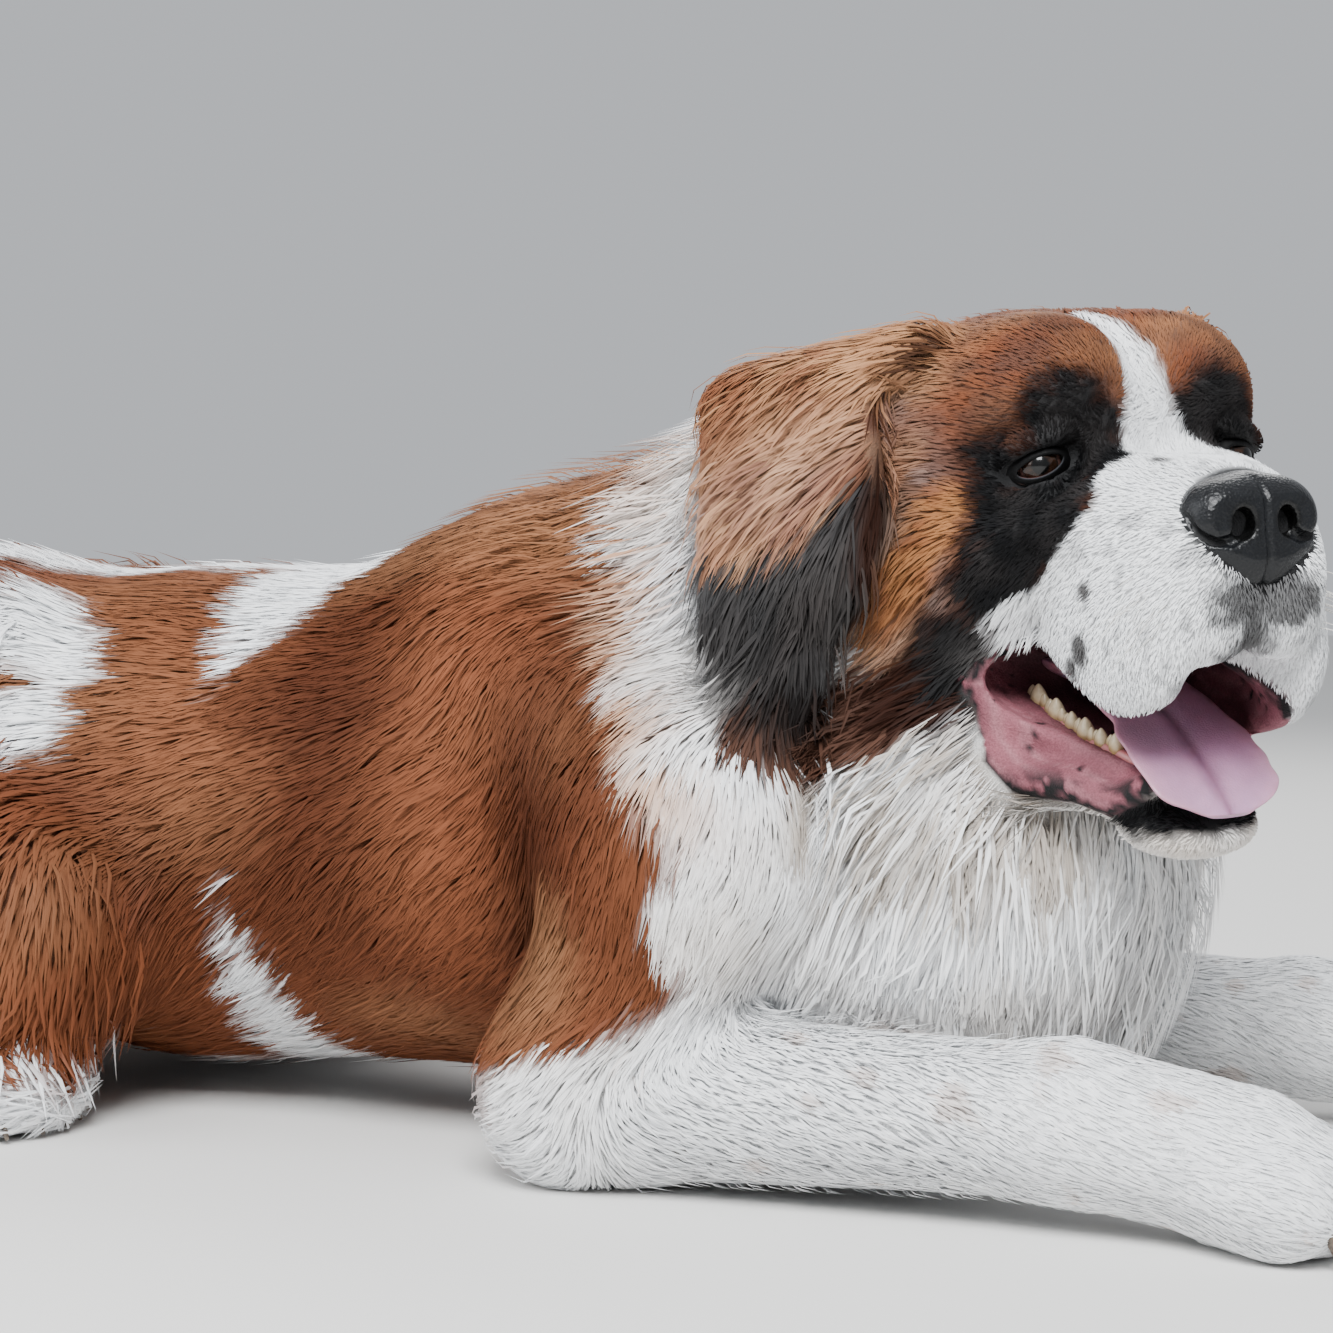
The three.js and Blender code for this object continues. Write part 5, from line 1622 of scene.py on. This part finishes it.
def grow(roots, normals, w, m, q, rng, rings, length, gather, clump):
    """Stations of each tuft from root to tip: steps along the lie, each set back to its height over
    the hide, lift (1 - (1 - t) to the power 2.2), and drawn towards the middle line of the lock
    that the tuft belongs to by gather t squared. A few wild tufts stand higher and longer."""
    count = len(roots)
    way = lie(roots, normals, w, q)
    side = np.cross(normals, way)
    swing = rng.normal(0, 1, count) * blended(STRAY, w) * 0.5
    way = unit(way * np.cos(swing)[:, None] + side * np.sin(swing)[:, None])
    depth = coat_depth(tuple(roots.T), m, w)
    jitter = np.stack([cloud(np.floor(roots), clump, 41 + a) for a in range(3)], 1)
    cell = np.floor(roots / clump + 0.35 * jitter)
    pull = (cell + 0.5) * clump - roots
    for flat in (normals, way):
        pull = pull - flat * (pull * flat).sum(1)[:, None]
    far = np.maximum(np.linalg.norm(pull, axis=1), 1e-6)
    pull = pull * np.minimum(1, 0.6 * clump / far)[:, None]
    smooth = w["head"] + w["lower_jaw"] + w["torso"] + w["shoulder_right"] + w["shoulder_left"]
    smooth = np.clip(smooth, 0, 1)
    wild = rng.random(count) < 0.05 - 0.035 * smooth
    tame = 0.60 + 0.16 * smooth + (0.40 - 0.18 * smooth) * rng.random(count)
    lift = depth * np.where(wild, 1.9 - 0.6 * smooth, tame)
    length = length * np.where(wild, 1.15, 0.78 + 0.4 * rng.random(count))
    phase = 6.283 * rng.random(count)
    stations = [roots - normals * ROOT_DEPTH]
    here, n = roots.copy(), normals
    steps = np.linspace(0, 1, rings + 2)[1:]
    for before, t in zip(np.append(0, steps[:-1]), steps):
        wave = 0.10 * np.sin(phase + 5.0 * t)
        turned = unit(way + np.cross(n, way) * wave[:, None])
        here = here + turned * (length * (t - before))[:, None]
        here = here + pull * (gather * (t * t - before * before))[:, None]
        value, gradient = slope(hide_field, here, 1.5)
        n = unit(gradient)
        want = lift * (1 - (1 - t) ** 2.2)
        here = here + n * np.clip(want - value, -60, 60)[:, None]
        way = unit(turned - n * (turned * n).sum(1)[:, None])
        stations.append(here.copy())
    points = np.stack(stations, 1)
    points[:, :, 2] = np.maximum(points[:, :, 2], 0.8)
    return points


# across and up, for the three corners of a tuft's section
TUBE = np.array([(0.0, 0.62), (-1.0, -0.30), (1.0, -0.30)])


def tube_points(points, normals, width, profile):
    """Corners of the rings round each tuft's line, flattened onto the hide, with their soft normals
    as seen from above and from below."""
    ahead = unit(np.gradient(points, axis=1))
    out = unit(normals[:, None] - ahead * (normals[:, None] * ahead).sum(2)[:, :, None])
    across = np.cross(out, ahead)
    half = width[:, None] / 2 * np.asarray(profile)[None]
    sides = across[:, 1:-1, None] * TUBE[None, None, :, 0, None]
    ups = out[:, 1:-1, None] * TUBE[None, None, :, 1, None] * 0.6
    rim = points[:, 1:-1, None] + (sides + ups) * half[:, :, None, None]
    count = len(points)
    vertices = np.concatenate([points[:, :1], rim.reshape(count, -1, 3), points[:, -1:]], 1)
    soft = []
    for up in (1, -1):
        bent = unit(sides * 0.25 + up * out[:, 1:-1, None])
        soft.append(np.concatenate([up * out[:, :1], bent.reshape(count, -1, 3), up * out[:, -1:]], 1))
    return vertices, soft


BAKE_PATCH = 0.003


def coat(name, parts, clump, profile, seed, chart, only):
    """Sows, grows, colours and joins one coat piece over the named parts of the hide: one root for
    each spacing squared of its area, and a profile of widths for the rings of each tuft. Tufts are
    darker at the root as painted shade, and each has its own place in the streaks and its own small
    patch to bake."""
    rng, rings = np.random.default_rng(seed), len(profile)
    keep = np.isin(face_part, [PARTS.index(part) for part in parts]) & only
    keep &= ~bare(face_centre, face_head, face_masses)
    w_here = {part: face_shares[part][keep] for part in PARTS}
    m_here = {key: value[keep] for key, value in face_masses.items()}
    gap = blended(SPACING, w_here) * fineness(face_head[keep], w_here, m_here) ** 0.45
    weight = face_area[keep] / gap**2
    number = int(weight.sum())
    chosen = np.flatnonzero(keep)[spread_roots(weight, number, rng)]
    a, b = rng.random((2, number, 1))
    a, b = np.where(a + b > 1, 1 - a, a), np.where(a + b > 1, 1 - b, b)
    c = corners[chosen]
    roots = c[:, 0] + a * (c[:, 1] - c[:, 0]) + b * (c[:, 2] - c[:, 0])
    normals = face_normal[chosen]
    m = masses(tuple(roots.T))
    q = to_head(tuple(roots.T)).T
    w = shares(m, 10.0)
    clear = ~bare(roots, q, m)
    roots, normals, q = roots[clear], normals[clear], q[clear]
    m = {key: value[clear] for key, value in m.items()}
    w = {key: value[clear] for key, value in w.items()}
    fine = fineness(q, w, m)
    size = blended(LENGTH, w) * fine**1.3
    thick = blended(WIDTH, w) * fine**0.55 * (0.75 + 0.5 * rng.random(len(roots)))
    points = grow(roots, normals, w, m, q, rng, rings, size, blended(GATHER, w), clump)
    colour = marks(points[:, 1] * 0.5 + points[:, 2] * 0.5)[0]
    vertices, soft = tube_points(points, normals, thick, profile)
    vertices[:, :, 2] = np.maximum(vertices[:, :, 2], 0.4)
    vertices[:, :, 1] -= 0.7 * np.maximum(vertices[:, :, 1] - SIDE_LIMIT, 0)
    count, each = vertices.shape[:2]
    one = tuft_faces(rings)
    faces = (one[None] + (np.arange(count) * each)[:, None, None]).reshape(-1, 3)
    piece = mesh_piece(name, placed(vertices.reshape(-1, 3)), faces)
    swing = 0.10 - 0.05 * (w["head"] + w["lower_jaw"])
    shade = 1 + swing * (2 * rng.random(count) - 1 + cloud(roots, clump * 0.6, 51))
    along = np.repeat(np.linspace(0, 1, rings + 2), [1] + [3] * rings + [1])
    # Painted shade: each tuft is darkened towards its root, more on dark hair than on white.
    dark = 0.04 + 0.22 * (1 - np.clip(colour.mean(1) / 0.6, 0, 1))
    run = 1.04 - dark[:, None] * (1 - along[None] ** 0.7)
    tint = colour[:, None] * shade[:, None, None] * run[:, :, None]
    paint(piece, "Marks", np.clip(tint, 0, 0.95).reshape(-1, 3))
    corner_u = np.array([0.5] + [0.5, 0.0, 1.0] * rings + [0.5])
    which = one.ravel()
    offset = rng.random((count, 1, 2)) * 40
    strand = np.stack([corner_u, along * 0.35], 1)[which][None] + offset
    patch_uv = np.stack([corner_u, along], 1)[which][None] * BAKE_PATCH
    patch_uv = patch_uv + (chart(roots) * (1 - 2 * BAKE_PATCH))[:, None]
    for map_name, values in (("Strand", strand), ("OFBake", patch_uv)):
        layer = piece.data.uv_layers.new(name=map_name)
        layer.data.foreach_set("uv", values.astype(np.float32).ravel())
    below = ~((one % 3 == 1) & (one < each - 1)).any(1)
    bends = np.where(below[None, :, None, None], soft[1][:, one], soft[0][:, one])
    piece.data.normals_split_custom_set(bends.reshape(-1, 3))
    piece.data.materials.append(coat_finish.material)
    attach(piece, "root")
    return piece


def round_chart(low, high, axis, middle):
    """An unwrap round one axis: the place along it and the turn about it, both from 0 to 1."""
    axis = unit(np.asarray(axis, float))
    first = unit(np.cross(axis, (0.1, 0.9, 0.35)))
    second = np.cross(axis, first)

    def chart(rows):
        d = rows - middle
        u = np.clip((d @ axis - low) / (high - low), 0, 1)
        return np.stack([u, (np.arctan2(d @ second, d @ first) / (2 * np.pi) + 0.5).clip(0, 1)], 1)

    return chart


coat_finish = Finish("long_hair", 0.6, Specular_IOR_Level=0.06)
hair_marks = coat_finish.add("Attribute", attribute_name="Marks").outputs["Color"]
strand_uv = coat_finish.add("UVMap", uv_map="Strand").outputs[0]
strand_map = coat_finish.add("Mapping", {"Vector": strand_uv, "Scale": (7.0, 2.0, 1.0)})
strands = coat_finish.add("TexNoise", {"Vector": strand_map.outputs[0], "Scale": 1.0, "Detail": 2.0})
streaks = coat_finish.ramp(strands.outputs[0], (0.28, 0.82), (0.7, 1.06))
coat_finish.colour(coat_finish.mix("MULTIPLY", 1.0, hair_marks, streaks))
coat_finish.bump(strands.outputs[0], 0.25, 0.0005)

ONE, TWO = (1.0,), (0.95, 0.8)  # the width of each ring, as a share of the tuft's
bib_side = face_centre[:, 0] > 400
left_side = face_centre[:, 1] > 0
face_front = face_head[:, 0] > -25
AHEAD, LEFT, UP = np.eye(3)
HEAD_CHART = (-200, 150, HEAD_TURN[:, 0], HEAD_PLACE)
NECK_CHART = (-60, 560, UP, (400, -20, 0))
TORSO_CHART = (-560, 480, AHEAD, (0, 0, 170))
COATS = (
    # name, parts, rings, size of a lock, which faces of those parts, unwrap from, to, round and at
    ("coat_face", "head lower_jaw", ONE, 9, face_front, HEAD_CHART),
    ("coat_crown", "head lower_jaw", ONE, 12, ~face_front, HEAD_CHART),
    ("coat_ears", "ear_right ear_left", TWO, 20, True, (-300, 300, (0.64, 0.77, 0), HEAD_PLACE)),
    ("coat_mane", "neck", ONE, 26, ~bib_side, NECK_CHART),
    ("coat_bib", "neck", ONE, 26, bib_side, NECK_CHART),
    ("coat_torso_right", "torso", ONE, 24, ~left_side, TORSO_CHART),
    ("coat_torso_left", "torso", ONE, 24, left_side, TORSO_CHART),
    ("coat_shoulders", "shoulder_right shoulder_left", ONE, 24, True, (0, 460, AHEAD, (0, 0, 170))),
    ("coat_foreleg_right", "foreleg_right", ONE, 14, True, (180, 760, AHEAD, (0, -130, 30))),
    ("coat_foreleg_left", "foreleg_left", ONE, 14, True, (180, 760, AHEAD, (0, 130, 30))),
    ("coat_thighs", "hindleg_right hindleg_left", ONE, 26, True, (-520, 60, AHEAD, (0, 0, 120))),
    ("coat_tail", "tail_root tail_tip", TWO, 28, True, (-420, 120, LEFT, (-480, 0, 60))),
)
for seed, (name, parts, profile, clump, only, chart) in enumerate(COATS, 100):
    piece = coat(name, parts.split(), clump, profile, seed, round_chart(*chart), only)
